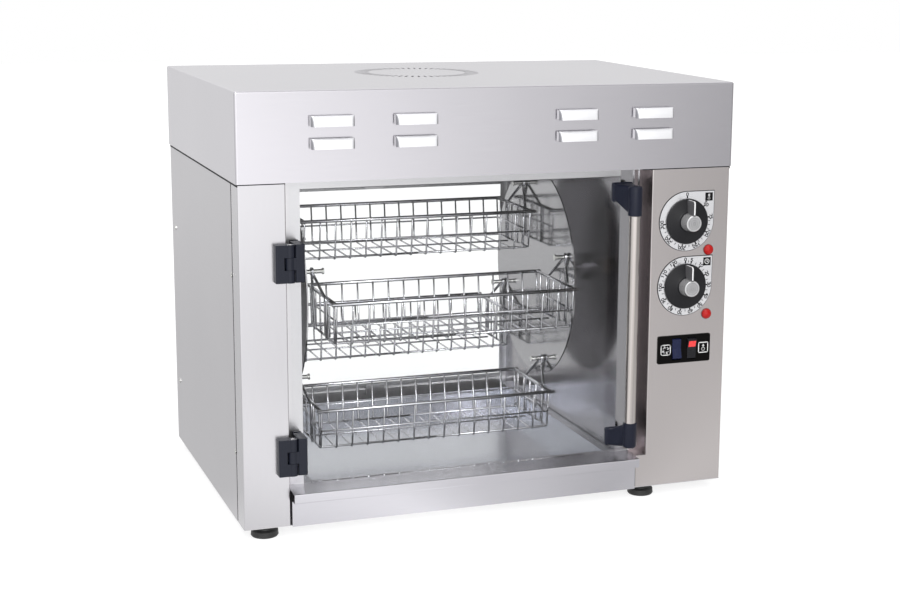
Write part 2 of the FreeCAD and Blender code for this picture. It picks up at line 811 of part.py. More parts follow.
def hood_edge(a, b):
    """True for the hood's top edges and its upright corners."""
    return (a.z > v.case_top - 0.01 and b.z > v.case_top - 0.01) or abs(a.z - b.z) > 1


# Door: glass, pivot hinges and the upright handle


def make_door():
    pane = new_body("door_glass")
    outline = new_sketch(pane, "door_pane", "XZ_Plane", "-glass_back")
    rectangle(outline, "glass_left", "glass_low", "glass_right", "glass_high")
    for z in ("upper_hinge_z", "lower_hinge_z"):
        for side in ("-", "+"):
            circle(outline, "glass_left + 5.5", f"{z} {side} 14", "2.6")
    for z in ("handle_z - lower_foot_drop", "handle_z + handle_length + upper_foot_rise"):
        circle(outline, "handle_x - 10", z, "2.6")
    pad(pane, outline, "glass_thickness")
    node(pane, "door_glass")
    fixed = []
    swinging = []
    pins = []
    for z in (v.upper_hinge_z, v.lower_hinge_z):
        fixed.append(pillar_leaf(z))
        swinging.extend(glass_leaf(z))
        pins.append(Part.makeCylinder(
            v.hinge_pin_radius, v.hinge_height, Vector(v.hinge_x, v.hinge_y, z - v.hinge_height / 2)))
    node(feature("hinge_pillar_leaves", Part.makeCompound(fixed)), "hinge_pillar_leaves")
    node(feature("hinge_glass_leaves", Part.makeCompound(swinging)), "hinge_glass_leaves")
    node(feature("hinge_pins", Part.makeCompound(pins)), "hinge_pins")


KNUCKLE_GAP = 0.4


def pillar_leaf(z):
    """Leaf on the post's face, with the outer two knuckles of the hinge."""
    half = v.hinge_height / 2
    depth = v.body_front - (v.hinge_y - v.hinge_barrel + 1.5)
    plate = Part.makeBox(
        v.hinge_leaf, depth, v.hinge_height,
        Vector(v.hinge_x - v.hinge_leaf, v.body_front - depth, z - half),
    )
    plate = plate.makeFillet(2.0, [
        edge for edge in plate.Edges
        if all(abs(p.Point.y - (v.body_front - depth)) < 0.01 for p in edge.Vertexes)
        and all(p.Point.x < v.hinge_x - 1 for p in edge.Vertexes)
    ])
    barrel = Part.makeCylinder(v.hinge_barrel, v.hinge_height, Vector(v.hinge_x, v.hinge_y, z - half))
    leaf = plate.fuse(barrel)
    sweep = math.hypot(v.hinge_barrel + KNUCKLE_GAP + 1, v.hinge_barrel - 1.5) + KNUCKLE_GAP
    middle = v.hinge_height / 3
    leaf = leaf.cut(Part.makeCylinder(sweep, middle, Vector(v.hinge_x, v.hinge_y, z - middle / 2)))
    bore = Part.makeCylinder(
        v.hinge_pin_radius + 0.02, v.hinge_height, Vector(v.hinge_x, v.hinge_y, z - half))
    return leaf.cut(bore).removeSplitter()


def glass_leaf(z):
    """Leaf that clamps the pane, with the middle knuckle, and its plate behind the pane."""
    half = v.hinge_height / 2
    front = v.hinge_y - v.hinge_barrel + 1.5
    reach = v.hinge_barrel + KNUCKLE_GAP
    right = v.hinge_x + v.hinge_leaf
    block = Part.makeBox(
        right - v.hinge_x - reach, v.glass_front - front, v.hinge_height,
        Vector(v.hinge_x + reach, front, z - half),
    )
    block = block.makeFillet(2.0, [
        edge for edge in block.Edges
        if all(abs(p.Point.y - front) < 0.01 for p in edge.Vertexes)
    ])
    middle = v.hinge_height / 3 - 2 * KNUCKLE_GAP
    knuckle = Part.makeCylinder(v.hinge_barrel, middle, Vector(v.hinge_x, v.hinge_y, z - middle / 2))
    arm = Part.makeBox(
        reach + 1, 2 * v.hinge_barrel - 3, middle,
        Vector(v.hinge_x, v.hinge_y - v.hinge_barrel + 1.5, z - middle / 2),
    )
    leaf = block.fuse([knuckle, arm])
    leaf = leaf.cut(Part.makeCylinder(
        v.hinge_pin_radius + v.running_gap, v.hinge_height, Vector(v.hinge_x, v.hinge_y, z - half)))
    clamp = Part.makeBox(
        right - v.glass_left, 3, v.hinge_height, Vector(v.glass_left, v.glass_back, z - half))
    studs = [
        placed(prism(12, 2.5, 0, v.glass_thickness), Vector(v.glass_left + 5.5, v.glass_front, z + side * 14),
               Vector(0, 1, 0))
        for side in (-1, 1)
    ]
    return [leaf.removeSplitter().fuse(studs), clamp]


def make_handle():
    tube = new_body("handle_tube")
    ring = new_sketch(tube, "tube_ring", "XY_Plane", "handle_z")
    circle(ring, "handle_x", "handle_y", "handle_radius")
    circle(ring, "handle_x", "handle_y", "handle_radius - 1.2")
    pad(tube, ring, "handle_length")
    node(tube, "handle_tube")
    top = v.handle_z + v.handle_length
    brackets = [
        handle_bracket(top, 1, top + v.upper_foot_rise),
        handle_bracket(v.handle_z, -1, v.handle_z - v.lower_foot_drop),
    ]
    node(feature("handle_brackets", Part.makeCompound(brackets)), "handle_brackets")


def handle_bracket(end, way, foot_z):
    """Moulded elbow: a foot on the pane, an arm and a socket over the end of the tube."""
    overlap = 14
    height = 32
    low = end - overlap if way > 0 else end - height + overlap
    socket = Part.makeCylinder(v.grip_radius, height, Vector(v.handle_x, v.handle_y, low))
    cap_z = low + height if way > 0 else low
    socket = socket.makeChamfer(2.5, [
        edge for edge in socket.Edges
        if abs(edge.BoundBox.ZMin - cap_z) < 0.01 and abs(edge.BoundBox.ZMax - cap_z) < 0.01
    ])
    base = Part.makeBox(35, 6, 30, Vector(v.handle_x - 24, v.glass_front - 6, foot_z - 15))
    foot_face = section_at(v.handle_x - 6.5, v.glass_front - 5, foot_z, 31, 26)
    arm_face = section_at(v.handle_x, v.handle_y + 3, low + height / 2, 23, 24)
    arm = Part.makeLoft([foot_face, arm_face], True, True)
    bracket = socket.fuse([base, arm]).removeSplitter()
    bracket = bracket.cut(Part.makeCylinder(
        v.handle_radius + 0.02, overlap, Vector(v.handle_x, v.handle_y, end - overlap if way > 0 else end)))
    axis = Vector(0, 1, 0)
    screw = placed(prism(12, 2.5, 0, v.glass_thickness), Vector(v.handle_x - 10, v.glass_front, foot_z), axis)
    head = placed(prism(12, 6, 0, 2.5), Vector(v.handle_x - 10, v.glass_back, foot_z), axis)
    return bracket.fuse([screw, head])


def section_at(x, y, z, width, height):
    """Rounded rectangle across the Y direction, centred on a point."""
    w = width / 2
    h = height / 2
    return Part.makePolygon([
        Vector(x - w, y, z - h + 3), Vector(x - w + 3, y, z - h), Vector(x + w - 3, y, z - h),
        Vector(x + w, y, z - h + 3), Vector(x + w, y, z + h - 3), Vector(x + w - 3, y, z + h),
        Vector(x - w + 3, y, z + h), Vector(x - w, y, z + h - 3), Vector(x - w, y, z - h + 3),
    ])


# Drip tray drawer


def make_tray():
    front = new_body("tray_front")
    outline = new_sketch(front, "tray_front_outline", "YZ_Plane", "pillar_x + 2")
    low = "foot_height - tray_drop"
    loop(outline, folded(
        ("front_y", low),
        [("y+", "shelf_z - lip_height"), ("x-", "front_y - lip_reach"), ("y+", "shelf_z"),
         ("x+", "jamb_y - 0.5")],
        "right",
    ))
    pad(front, outline, "plinth_x - 1 - (pillar_x + 2)")
    tongue = new_sketch(front, "tray_front_tongue", "XY_Plane", "pan_top")
    rectangle(tongue, "left_wall_x + 0.5", "jamb_y - 0.5", "right_wall_x - 0.5", "pan_front + 8")
    shape = pad(front, tongue, "gauge")
    lip = [v.front_y - v.lip_reach]
    fillet_edges(front, shape, "edge_round * 0.6", lambda a, b: (
        abs(a.y - lip[0]) < 0.01 and abs(b.y - lip[0]) < 0.01 and abs(a.z - b.z) < 0.01))
    node(front, "tray_front")

    pan = new_body("drip_tray")
    floor = new_sketch(pan, "pan_floor", "XY_Plane", "pan_low")
    rectangle(floor, "pan_left", "pan_front", "pan_right", "pan_back")
    pad(pan, floor, "gauge")
    walls = new_sketch(pan, "pan_walls", "XY_Plane", "pan_low + gauge")
    rectangle(walls, "pan_left", "pan_front", "pan_right", "pan_back")
    rectangle(walls, "pan_left + gauge", "pan_front + gauge", "pan_right - gauge", "pan_back - gauge")
    pad(pan, walls, "pan_top - pan_low - 2 * gauge")
    rim = new_sketch(pan, "pan_rim", "XY_Plane", "pan_top - gauge")
    rectangle(rim, "pan_left - 9", "pan_front", "pan_right + 9", "pan_back")
    rectangle(rim, "pan_left + gauge", "pan_front + gauge", "pan_right - gauge", "pan_back - gauge")
    pad(pan, rim, "gauge")
    node(pan, "drip_tray")


def make_runners():
    """Angle runners on the cavity walls, under the pan's side flanges."""
    runners = []
    top = "pan_top - gauge - slide_gap"
    for name, wall, way in (("left", "left_wall_x", "x+"), ("right", "right_wall_x", "x-")):
        body = new_body(f"runner_{name}")
        outline = new_sketch(body, f"runner_{name}_outline", "XZ_Plane", "-rear_y + 4")
        sign = "+" if way == "x+" else "-"
        loop(outline, folded(
            (wall, f"{top} - 14"),
            [("y+", top), (way, f"{wall} {sign} runner_width")],
            "right" if way == "x+" else "left",
        ))
        pad(body, outline, "rear_y - 4 - (jamb_y + 4)")
        runners.append(body)
    return node(gather("tray_runners", runners), "tray_runners")


# Wheel: two discs, stub shafts with hubs, and the pins that the baskets hang on


def pin_spots():
    """Pin centres in the wheel's plane, the front one first, turned as it stands."""
    spots = []
    for i in range(BASKETS):
        angle = math.radians(180 - v.wheel_angle + 360 * i / BASKETS)
        spots.append((v.wheel_y + v.pin_circle * math.cos(angle), v.wheel_z + v.pin_circle * math.sin(angle)))
    return spots


def make_wheel():
    for name, inner in (("rotor_disc_left", "disc_left - disc_gauge"), ("rotor_disc_right", "disc_right")):
        body = new_body(name)
        outline = new_sketch(body, name + "_outline", "YZ_Plane", inner)
        circle(outline, "wheel_y", "wheel_z", "disc_radius")
        for i in range(BASKETS):
            turn = f"(180 - wheel_angle + {360 * i / BASKETS})"
            circle(outline, f"wheel_y + pin_circle * cos({turn})", f"wheel_z + pin_circle * sin({turn})",
                   "pin_radius + running_gap")
        pad(body, outline, "disc_gauge")
        node(body, name)

    right_hub = "disc_right + disc_gauge"
    drive = fuse("drive_shaft", [
        cylinder("drive_hub", (right_hub, "wheel_y", "wheel_z"), "hub_radius", "hub_length", "x"),
        cylinder("drive_bar", (right_hub, "wheel_y", "wheel_z"), "shaft_radius", "drive_gap + 20", "x"),
    ])
    node(drive, "drive_shaft")
    left_hub = "disc_left - disc_gauge"
    idler = fuse("idler_shaft", [
        cylinder("idler_hub", (f"{left_hub} - hub_length", "wheel_y", "wheel_z"), "hub_radius",
                 "hub_length", "x"),
        cylinder("idler_bar", ("left_wall_x - 12", "wheel_y", "wheel_z"), "shaft_radius",
                 f"{left_hub} - (left_wall_x - 12)", "x"),
    ])
    node(idler, "idler_shaft")

    pins = []
    for y, z in pin_spots():
        for face, way in ((v.disc_right, -1), (v.disc_left, 1)):
            axis = Vector(way, 0, 0)
            foot = Vector(face, y, z)
            reach = abs(v.basket_x - face) - v.basket_span / 2 + v.pin_length
            pin = Part.makeCylinder(v.pin_radius, reach + v.disc_gauge, foot - axis * v.disc_gauge, axis)
            rivet = placed(prism(12, 5, -2, 0), foot - axis * v.disc_gauge, axis)
            collar = placed(prism(12, 4.5, -2, 0), foot + axis * reach, axis)
            pins.append(pin.fuse([rivet, collar]).removeSplitter())
    node(feature("basket_pins", Part.makeCompound(pins)), "basket_pins")


def make_bushes():
    """Flanged plain bushes of the two stub shafts, in the cavity walls."""
    bushes = []
    for name, wall, way in (("left", v.left_wall_x, 1), ("right", v.right_wall_x, -1)):
        axis = Vector(way, 0, 0)
        centre = Vector(wall, v.wheel_y, v.wheel_z)
        sleeve = Part.makeCylinder(v.bush_radius, v.gauge + 2, centre - axis * v.gauge, axis)
        flange = Part.makeCylinder(v.bush_flange, 2, centre, axis)
        bore = Part.makeCylinder(v.shaft_radius + v.running_gap, 20, centre - axis * 10, axis)
        bushes.append(sleeve.fuse(flange).removeSplitter().cut(bore))
    return node(feature("shaft_bushes", Part.makeCompound(bushes)), "shaft_bushes")


def make_gear_motor():
    """Gearbox on the cavity wall and the motor can behind it, bored for the drive shaft."""
    body = new_body("gearbox")
    outline = new_sketch(body, "gearbox_outline", "YZ_Plane", "right_wall_x + gauge")
    rectangle(outline, "wheel_y - 32", "wheel_z - 30", "wheel_y + 32", "wheel_z + 58")
    block = pad(body, outline, "34")
    corners = [(v.wheel_y + a, v.wheel_z + b) for a in (-32, 32) for b in (-30, 58)]
    fillet_edges(body, block, "12", lambda a, b: (
        math.hypot(a.y - b.y, a.z - b.z) < 0.01
        and any(math.hypot(a.y - y, a.z - z) < 0.01 for y, z in corners)))
    bore = new_sketch(body, "gearbox_bore", "YZ_Plane", "right_wall_x + gauge")
    circle(bore, "wheel_y", "wheel_z", "shaft_radius + running_gap")
    pocket(body, bore, "24", backwards=True)
    can = cylinder("motor_can", ("right_wall_x + gauge + 34", "wheel_y", "wheel_z + 22"), "29", "46", "x")
    end = cylinder("motor_end", ("right_wall_x + gauge + 80", "wheel_y", "wheel_z + 22"), "9", "6", "x")
    return node(fuse("gear_motor", [body, can, end]), "gear_motor")


# Wire baskets, each hung on its pins by two hangers


def bar(start, end, radius):
    """Straight wire with a six sided section between two points."""
    wire = prism(6, radius, 0, (end - start).Length)
    wire.Placement = Placement(start, Rotation(Vector(0, 0, 1), end - start))
    return wire


def welded(first, second):
    """Distance between the middles of two wires that are spot welded where they cross."""
    return 0.8 * (first + second)


def joined(wires):
    return wires[0].fuse(wires[1:])


def basket_shapes():
    """Floor, long sides and ends of one basket, about the axis of its pins."""
    fine = v.fine_wire
    corner = v.corner_rod
    rim = v.rim_rod
    rim_y = v.basket_depth / 2
    low_y = v.basket_floor_depth / 2
    rim_z = -v.rim_drop
    low_z = -v.basket_drop
    top_x = v.rim_half - v.rail_overhang
    low_x = top_x - v.basket_end_slope
    wire_z = low_z - welded(corner, fine)
    count = round(2 * low_x / v.wire_pitch) - 1
    columns = [v.wire_pitch * (i - (count - 1) / 2) for i in range(count)]

    # The uprights of a long side start inside the rim and end outside the corner rod
    head = Vector(0, rim_y - welded(rim, fine), rim_z)
    foot = Vector(0, low_y + corner + fine + 0.02, wire_z + fine + 0.02)
    across = Vector(0, foot.z - head.z, head.y - foot.y).normalize() * -1

    floor = [
        bar(Vector(x, -foot.y - fine, wire_z), Vector(x, foot.y + fine, wire_z), fine)
        for x in columns
    ]
    for y in (-low_y, low_y):
        floor.append(bar(Vector(-low_x, y, low_z), Vector(low_x, y, low_z), corner))
    middle_x = columns[-1] + 3
    middle_z = wire_z + welded(fine, fine)
    floor.append(bar(Vector(-middle_x, 0, middle_z), Vector(middle_x, 0, middle_z), fine))

    sides = []
    for way in (-1, 1):
        wires = [bar(
            Vector(-v.rim_half, way * rim_y, rim_z), Vector(v.rim_half, way * rim_y, rim_z), rim)]
        for x in [-low_x + 0.5] + columns + [low_x - 0.5]:
            wires.append(bar(Vector(x, way * head.y, head.z), Vector(x, way * foot.y, foot.z), fine))
        point = head + (foot - head) * 0.52 + across * welded(fine, fine)
        wires.append(bar(Vector(-low_x, way * point.y, point.z), Vector(low_x, way * point.y, point.z), fine))
        sides.append(joined(wires))

    # An end frame: rim and low rail between the long sides, uprights, one cross wire, the hangers
    ends = []
    end_head = Vector(top_x - welded(rim, fine), 0, rim_z)
    end_foot = Vector(low_x - welded(corner, fine), 0, low_z)
    low_rail = low_y - corner - 0.05
    top_rail = head.y - fine - 0.1
    eye_x = v.basket_span / 2 - 3.4
    for way in (-1, 1):
        wires = [
            bar(Vector(way * top_x, -top_rail, rim_z), Vector(way * top_x, top_rail, rim_z), rim),
            bar(Vector(way * low_x, -low_rail, low_z), Vector(way * low_x, low_rail, low_z), corner),
        ]
        half = low_y - 12
        for i in range(END_WIRES):
            y = -half + 2 * half * i / (END_WIRES - 1)
            wires.append(bar(
                Vector(way * end_head.x, y, end_head.z), Vector(way * end_foot.x, y, end_foot.z), fine))
        cross = end_head + (end_foot - end_head) * 0.52
        reach = low_y - 4
        cross_x = way * (cross.x - welded(fine, fine))
        wires.append(bar(Vector(cross_x, -reach, cross.z), Vector(cross_x, reach, cross.z), fine))
        for lean in (-1, 1):
            knee = Vector(way * (top_x + welded(rim, v.hanger_rod)), lean * v.hanger_spread, rim_z)
            toe = Vector(way * (low_x + welded(corner, v.hanger_rod)), lean * v.hanger_foot_spread, low_z)
            eye = Vector(way * eye_x, 0, 0)
            wires.append(bar(eye + (knee - eye).normalize() * 4.6, knee, v.hanger_rod))
            wires.append(bar(knee, toe, v.hanger_rod))
        ring = Part.makeCylinder(6, 3, Vector(way * eye_x - 1.5, 0, 0), Vector(1, 0, 0))
        hole = Part.makeCylinder(
            v.pin_radius + v.running_gap, 3, Vector(way * eye_x - 1.5, 0, 0), Vector(1, 0, 0))
        ends.append(joined(wires + [ring]).cut(hole))
    return [joined(floor)], sides, ends


def make_baskets():
    floor, sides, ends = basket_shapes()
    for i, (y, z) in enumerate(pin_spots(), start=1):
        for name, solids in (("floor", floor), ("sides", sides), ("ends", ends)):
            grille = feature(f"basket_{i}_{name}", Part.makeCompound(solids))
            grille.Placement = Placement(Vector(v.basket_x, y, z), Rotation())
            node(grille, f"basket_{i}_{name}")


# Controls: dial plates, knobs, lamps, rocker switches and what is behind them


def make_dials():
    plates = []
    for name, z in (("upper", "upper_dial_z"), ("lower", "lower_dial_z")):
        face = "body_front - bezel_gauge"
        disc = cylinder(f"{name}_bezel_disc", ("dial_x", face, z), "bezel_radius", "bezel_gauge", "y")
        corner = box(f"{name}_bezel_corner", ("dial_x", face, z), ("bezel_radius", "bezel_gauge", "bezel_radius"))
        hole = cylinder(f"{name}_bezel_hole", ("dial_x", face, z), "spindle_radius + 2.2", "bezel_gauge", "y")
        plates.append(cut(f"{name}_bezel", fuse(f"{name}_bezel_blank", [disc, corner]), hole))
    node(gather("dial_bezels", plates), "dial_bezels")

    for name, z in (("thermostat", v.upper_dial_z), ("timer", v.lower_dial_z)):
        centre = Vector(v.dial_x, v.body_front, z)
        node(feature(f"{name}_knob", knob_shape(centre)), f"{name}_knob")
        node(feature(f"{name}_knob_cap", cap_shape(centre)), f"{name}_knob_cap")


def knob_shape(centre):
    """Skirt with a raised boss and an upright pointer blade."""
    gap = v.bezel_gauge + 0.4
    r = v.skirt_radius
    cap = v.cap_radius
    bore = v.spindle_radius + 0.02
    profile = Part.makePolygon([
        Vector(bore, -gap, 0), Vector(r, -gap, 0), Vector(r, -gap - 2.2, 0),
        Vector(r - 1.5, -gap - 3.2, 0), Vector(cap + 3, -gap - 5, 0), Vector(cap + 1, -gap - 7, 0),
        Vector(bore, -gap - 7, 0), Vector(bore, -gap, 0),
    ])
    skirt = Part.Face(profile).revolve(Vector(), Vector(0, 1, 0), 360)
    blade_low = cap + 0.3
    blade = Part.makeBox(3.4, v.knob_reach - gap - 4, r - 2.5 - blade_low,
                         Vector(-1.7, -v.knob_reach, blade_low))
    shape = skirt.fuse(blade).removeSplitter()
    shape.translate(centre)
    return shape


def cap_shape(centre):
    """Turned metal cap with its spindle, which runs back into the control behind."""
    gap = v.bezel_gauge + 0.4
    cap = v.cap_radius
    reach = v.knob_reach
    profile = Part.makePolygon([
        Vector(0, -gap - 7, 0), Vector(cap, -gap - 7, 0), Vector(cap, -reach + 1, 0),
        Vector(cap - 1, -reach, 0), Vector(0, -reach, 0), Vector(0, -gap - 7, 0),
    ])
    cap_solid = Part.Face(profile).revolve(Vector(), Vector(0, 1, 0), 360)
    spindle = Part.makeCylinder(v.spindle_radius, gap + 7 + 12, Vector(0, -gap - 7, 0), Vector(0, 1, 0))
    shape = cap_solid.fuse(spindle).removeSplitter()
    shape.translate(centre)
    return shape


def make_controls():
    """Thermostat and timer bodies, pilot lamps and the switches behind the fascia."""
    inner = "body_front + gauge"
    for name, z, radius, depth in (("thermostat", "upper_dial_z", "22", "26"),
                                   ("timer", "lower_dial_z", "27", "34")):
        can = cylinder(f"{name}_can", ("dial_x", inner, z), radius, depth, "y")
        neck = cylinder(f"{name}_neck", ("dial_x", "body_front", z), "spindle_radius + 2", "2 * gauge", "y")
        bore = cylinder(f"{name}_bore", ("dial_x", "body_front", z), "spindle_radius + running_gap", "16", "y")
        node(cut(name, fuse(f"{name}_blank", [can, neck]), bore), name)

    lamps = []
    for z in (v.upper_dial_z - v.lamp_drop, v.lower_dial_z - v.lamp_drop):
        centre = Vector(v.lamp_x, v.body_front, z)
        r = v.lamp_radius
        dome = [
            Vector(r * math.cos(math.radians(25 * i)), -1 - 5.4 * math.sin(math.radians(25 * i)), 0)
            for i in range(4)
        ]
        profile = Part.makePolygon(
            [Vector(0, 24, 0), Vector(4, 24, 0), Vector(4, 0, 0), Vector(r, 0, 0)]
            + dome + [Vector(0, -6.4, 0), Vector(0, 24, 0)]
        )
        lens = Part.Face(profile).revolve(Vector(), Vector(0, 1, 0), 360)
        lens.translate(centre)
        lamps.append(lens)
    node(feature("pilot_lamps", Part.makeCompound(lamps)), "pilot_lamps")

    plate = new_body("switch_plate")
    outline = new_sketch(plate, "switch_plate_outline", "XZ_Plane", "-body_front")
    rectangle(
        outline,
        "switch_x - switch_plate_width / 2", "switch_z - switch_plate_height / 2",
        "switch_x + switch_plate_width / 2", "switch_z + switch_plate_height / 2",
    )
    for side in ("-", "+"):
        middle = f"switch_x {side} rocker_pitch / 2"
        rectangle(
            outline,
            f"{middle} - rocker_width / 2 - 0.4", "switch_z - rocker_height / 2 - 1.4",
            f"{middle} + rocker_width / 2 + 0.4", "switch_z + rocker_height / 2 + 1.4",
        )
    slab = pad(plate, outline, "switch_plate_gauge")
    left = v.switch_x - v.switch_plate_width / 2
    right = v.switch_x + v.switch_plate_width / 2
    fillet_edges(plate, slab, "2.5", lambda a, b: (
        abs(a.y - b.y) > 1 and (abs(a.x - left) < 0.01 or abs(a.x - right) < 0.01)))
    node(plate, "switch_plate")

    bodies = []
    for name, way, tilt in (("rotation", -1, -1), ("lamp", 1, 1)):
        middle = v.switch_x + way * v.rocker_pitch / 2
        pivot = Vector(middle, v.body_front + 6, v.switch_z)
        bodies.append(switch_body(pivot))
        shape = rocker_shape()
        shape.Placement = Placement(pivot, Rotation(Vector(1, 0, 0), tilt * v.rocker_tilt))
        node(feature(f"{name}_rocker", shape), f"{name}_rocker")
    node(feature("switch_bodies", Part.makeCompound(bodies)), "switch_bodies")


def rocker_shape():
    """Rocker with two inclined faces, about its pivot, and its pivot pegs."""
    half = v.rocker_height / 2 - 1.3
    centre_depth = 8.0
    end_depth = centre_depth + half * math.tan(math.radians(v.rocker_tilt))
    reach = math.hypot(half, end_depth)
    back = 4.5
    shoulder = math.sqrt(reach ** 2 - back ** 2)
    mid_angle = (math.atan2(half, end_depth) + math.atan2(shoulder, back)) / 2
    arc_y = -reach * math.cos(mid_angle)
    arc_z = reach * math.sin(mid_angle)
    outline = Part.Wire([
        Part.LineSegment(Vector(0, -centre_depth, 0), Vector(0, -end_depth, half)).toShape(),
        Part.Arc(Vector(0, -end_depth, half), Vector(0, arc_y, arc_z), Vector(0, -back, shoulder)).toShape(),
        Part.LineSegment(Vector(0, -back, shoulder), Vector(0, 4, 9)).toShape(),
        Part.LineSegment(Vector(0, 4, 9), Vector(0, 4, -9)).toShape(),
        Part.LineSegment(Vector(0, 4, -9), Vector(0, -back, -shoulder)).toShape(),
        Part.Arc(Vector(0, -back, -shoulder), Vector(0, arc_y, -arc_z), Vector(0, -end_depth, -half)).toShape(),
        Part.LineSegment(Vector(0, -end_depth, -half), Vector(0, -centre_depth, 0)).toShape(),
    ])
    rocker = Part.Face(outline).extrude(Vector(v.rocker_width, 0, 0))
    rocker.translate(Vector(-v.rocker_width / 2, 0, 0))
    peg = Part.makeCylinder(1.5, v.rocker_width + 2.4, Vector(-v.rocker_width / 2 - 1.2, 0, 0), Vector(1, 0, 0))
    return rocker.fuse(peg).removeSplitter()


def switch_body(pivot):
    """Open fronted switch case with the bearing holes of the rocker's pegs."""
    wide = v.rocker_width + 4.0
    tall = v.rocker_height + 5.6
    depth = 24
    outer = Part.makeBox(wide, depth, tall, Vector(-wide / 2, -6, -tall / 2))
    inner = Part.makeBox(
        v.rocker_width + 0.8, depth - 3, tall - 2.0, Vector(-v.rocker_width / 2 - 0.4, -6, -tall / 2 + 1.0))
    bearing = Part.makeCylinder(1.5 + v.running_gap, wide, Vector(-wide / 2, 0, 0), Vector(1, 0, 0))
    case = outer.cut([inner, bearing])
    case.translate(pivot)
    return case


make_base_plate()
make_feet()
make_left_pillar()
make_control_fascia()
make_side_panel("left_side_panel", -1)
make_side_panel("right_side_panel", 1)
make_rear_frame()
make_screws()
make_cavity_wall("cavity_left_wall", -1)
make_cavity_wall("cavity_right_wall", 1)
make_front_rail()
make_ceiling()
make_heaters()
make_oven_lamp()
make_rear_glass()
make_hood()
make_door()
make_handle()
make_tray()
make_runners()
make_wheel()
make_bushes()
make_gear_motor()
make_baskets()
make_dials()
make_controls()

doc.recompute()

for item in doc.Objects:
    if "Invalid" in item.State or "Error" in item.State:
        raise RuntimeError(f"{item.Label} did not build: {item.State}")
for item in NODES:
    if item.Shape.isNull() or not item.Shape.isValid():
        raise RuntimeError(f"{item.Label} has no valid shape")

os.makedirs("parts", exist_ok=True)
for item in NODES:
    item.Shape.exportStep(f"parts/{item.Label}.step")
print(len(NODES), "nodes written")
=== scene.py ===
import math

import bpy
from mathutils import Matrix, Quaternion, Vector


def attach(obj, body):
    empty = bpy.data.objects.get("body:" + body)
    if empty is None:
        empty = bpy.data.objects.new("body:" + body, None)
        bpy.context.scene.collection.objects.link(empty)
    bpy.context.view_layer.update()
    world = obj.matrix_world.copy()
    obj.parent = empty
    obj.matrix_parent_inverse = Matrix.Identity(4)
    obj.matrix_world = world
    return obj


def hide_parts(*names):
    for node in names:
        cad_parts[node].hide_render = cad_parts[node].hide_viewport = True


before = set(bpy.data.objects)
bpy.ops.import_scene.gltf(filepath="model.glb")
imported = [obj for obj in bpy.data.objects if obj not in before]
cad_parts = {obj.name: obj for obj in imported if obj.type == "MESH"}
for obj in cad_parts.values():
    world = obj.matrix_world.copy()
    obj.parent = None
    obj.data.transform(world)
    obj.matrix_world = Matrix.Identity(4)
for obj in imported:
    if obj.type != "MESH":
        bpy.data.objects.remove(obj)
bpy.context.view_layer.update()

MM = 0.001

# Places and sizes of the part, in millimetres, as the CAD has them

BODY_FRONT = -224.25
WHEEL_Y, WHEEL_Z = 23.75, 290.0
WHEEL_ANGLE = 18.0
PIN_CIRCLE = 134.0
BASKET_X = -36.0
DISC_HALF_GAP = 190.0
DIAL_X = 283.0
DIAL_HEIGHTS = {"thermostat": 395.5, "timer": 303.5}
BEZEL_RADIUS = 41.5
BEZEL_FACE = BODY_FRONT - 1.2
SWITCH_X, SWITCH_Z = 284.5, 213.0
SWITCH_FACE = BODY_FRONT - 1.5

RIM_ROD = 2.5
CORNER_ROD = 1.6
HANGER_ROD = 2.0
FINE_WIRE = 1.25
RIM_HALF = 179.0
RIM_DROP = 33.0
BASKET_DROP = 88.0
RIM_Y = 74.0
LOW_Y = 61.0
TOP_HALF = 172.5
LOW_HALF = 171.5
WIRE_PITCH = 22.8
WIRE_COUNT = 14
END_UPRIGHTS = 5
KNEE_Y = 36.0
TOE_Y = 31.0
WIRE_BEND = 4.0
HANGER_BEND = 8.0
HANGER_START = 4.6
EYE_RADIUS = 4.55
EYE_ROD = 1.4
EYE_INSET = 3.4
EYE_STEP = 0.8


# Materials

EVEN = (1.0, 1.0, 1.0)
ALONG_X = (0.02, 1.0, 1.0)
ALONG_Y = (1.0, 0.02, 1.0)
ALONG_Z = (1.0, 1.0, 0.02)
GRAIN_DEPTH = 0.0001
GRAIN_SCALE = 1400.0
GRAIN_ROUGHNESS = 0.006
CLOUD_SCALE = 4.0
CLOUD_SHADE = (0.97, 0.97, 0.972)
FAINT = 0.004
CLEAR = (0.975, 0.978, 0.978)
CLEAR_SMEAR = 0.015
CLEAR_IOR = 1.3


def new_material(name):
    material = bpy.data.materials.new(name)
    material.use_nodes = True
    tree = material.node_tree
    tree.nodes.clear()
    output = tree.nodes.new("ShaderNodeOutputMaterial")
    shader = tree.nodes.new("ShaderNodeBsdfPrincipled")
    tree.links.new(shader.outputs[0], output.inputs[0])
    return material, tree, shader


def stretched_noise(tree, scale, stretch, detail=4.0):
    """Noise in object space, drawn out along the axes with a small stretch number."""
    where = tree.nodes.new("ShaderNodeTexCoord")
    mapping = tree.nodes.new("ShaderNodeMapping")
    mapping.inputs["Scale"].default_value = stretch
    noise = tree.nodes.new("ShaderNodeTexNoise")
    noise.inputs["Scale"].default_value = scale
    noise.inputs["Detail"].default_value = detail
    tree.links.new(where.outputs["Object"], mapping.inputs["Vector"])
    tree.links.new(mapping.outputs["Vector"], noise.inputs["Vector"])
    return noise.outputs["Fac"]


def ramp(tree, factor, stops):
    """Colour ramp from a list of (position, colour)."""
    node = tree.nodes.new("ShaderNodeValToRGB")
    elements = node.color_ramp.elements
    while len(elements) < len(stops):
        elements.new(0.5)
    for element, (position, colour) in zip(elements, stops):
        element.position = position
        element.color = (*colour, 1.0)
    tree.links.new(factor, node.inputs["Fac"])
    return node.outputs["Color"]


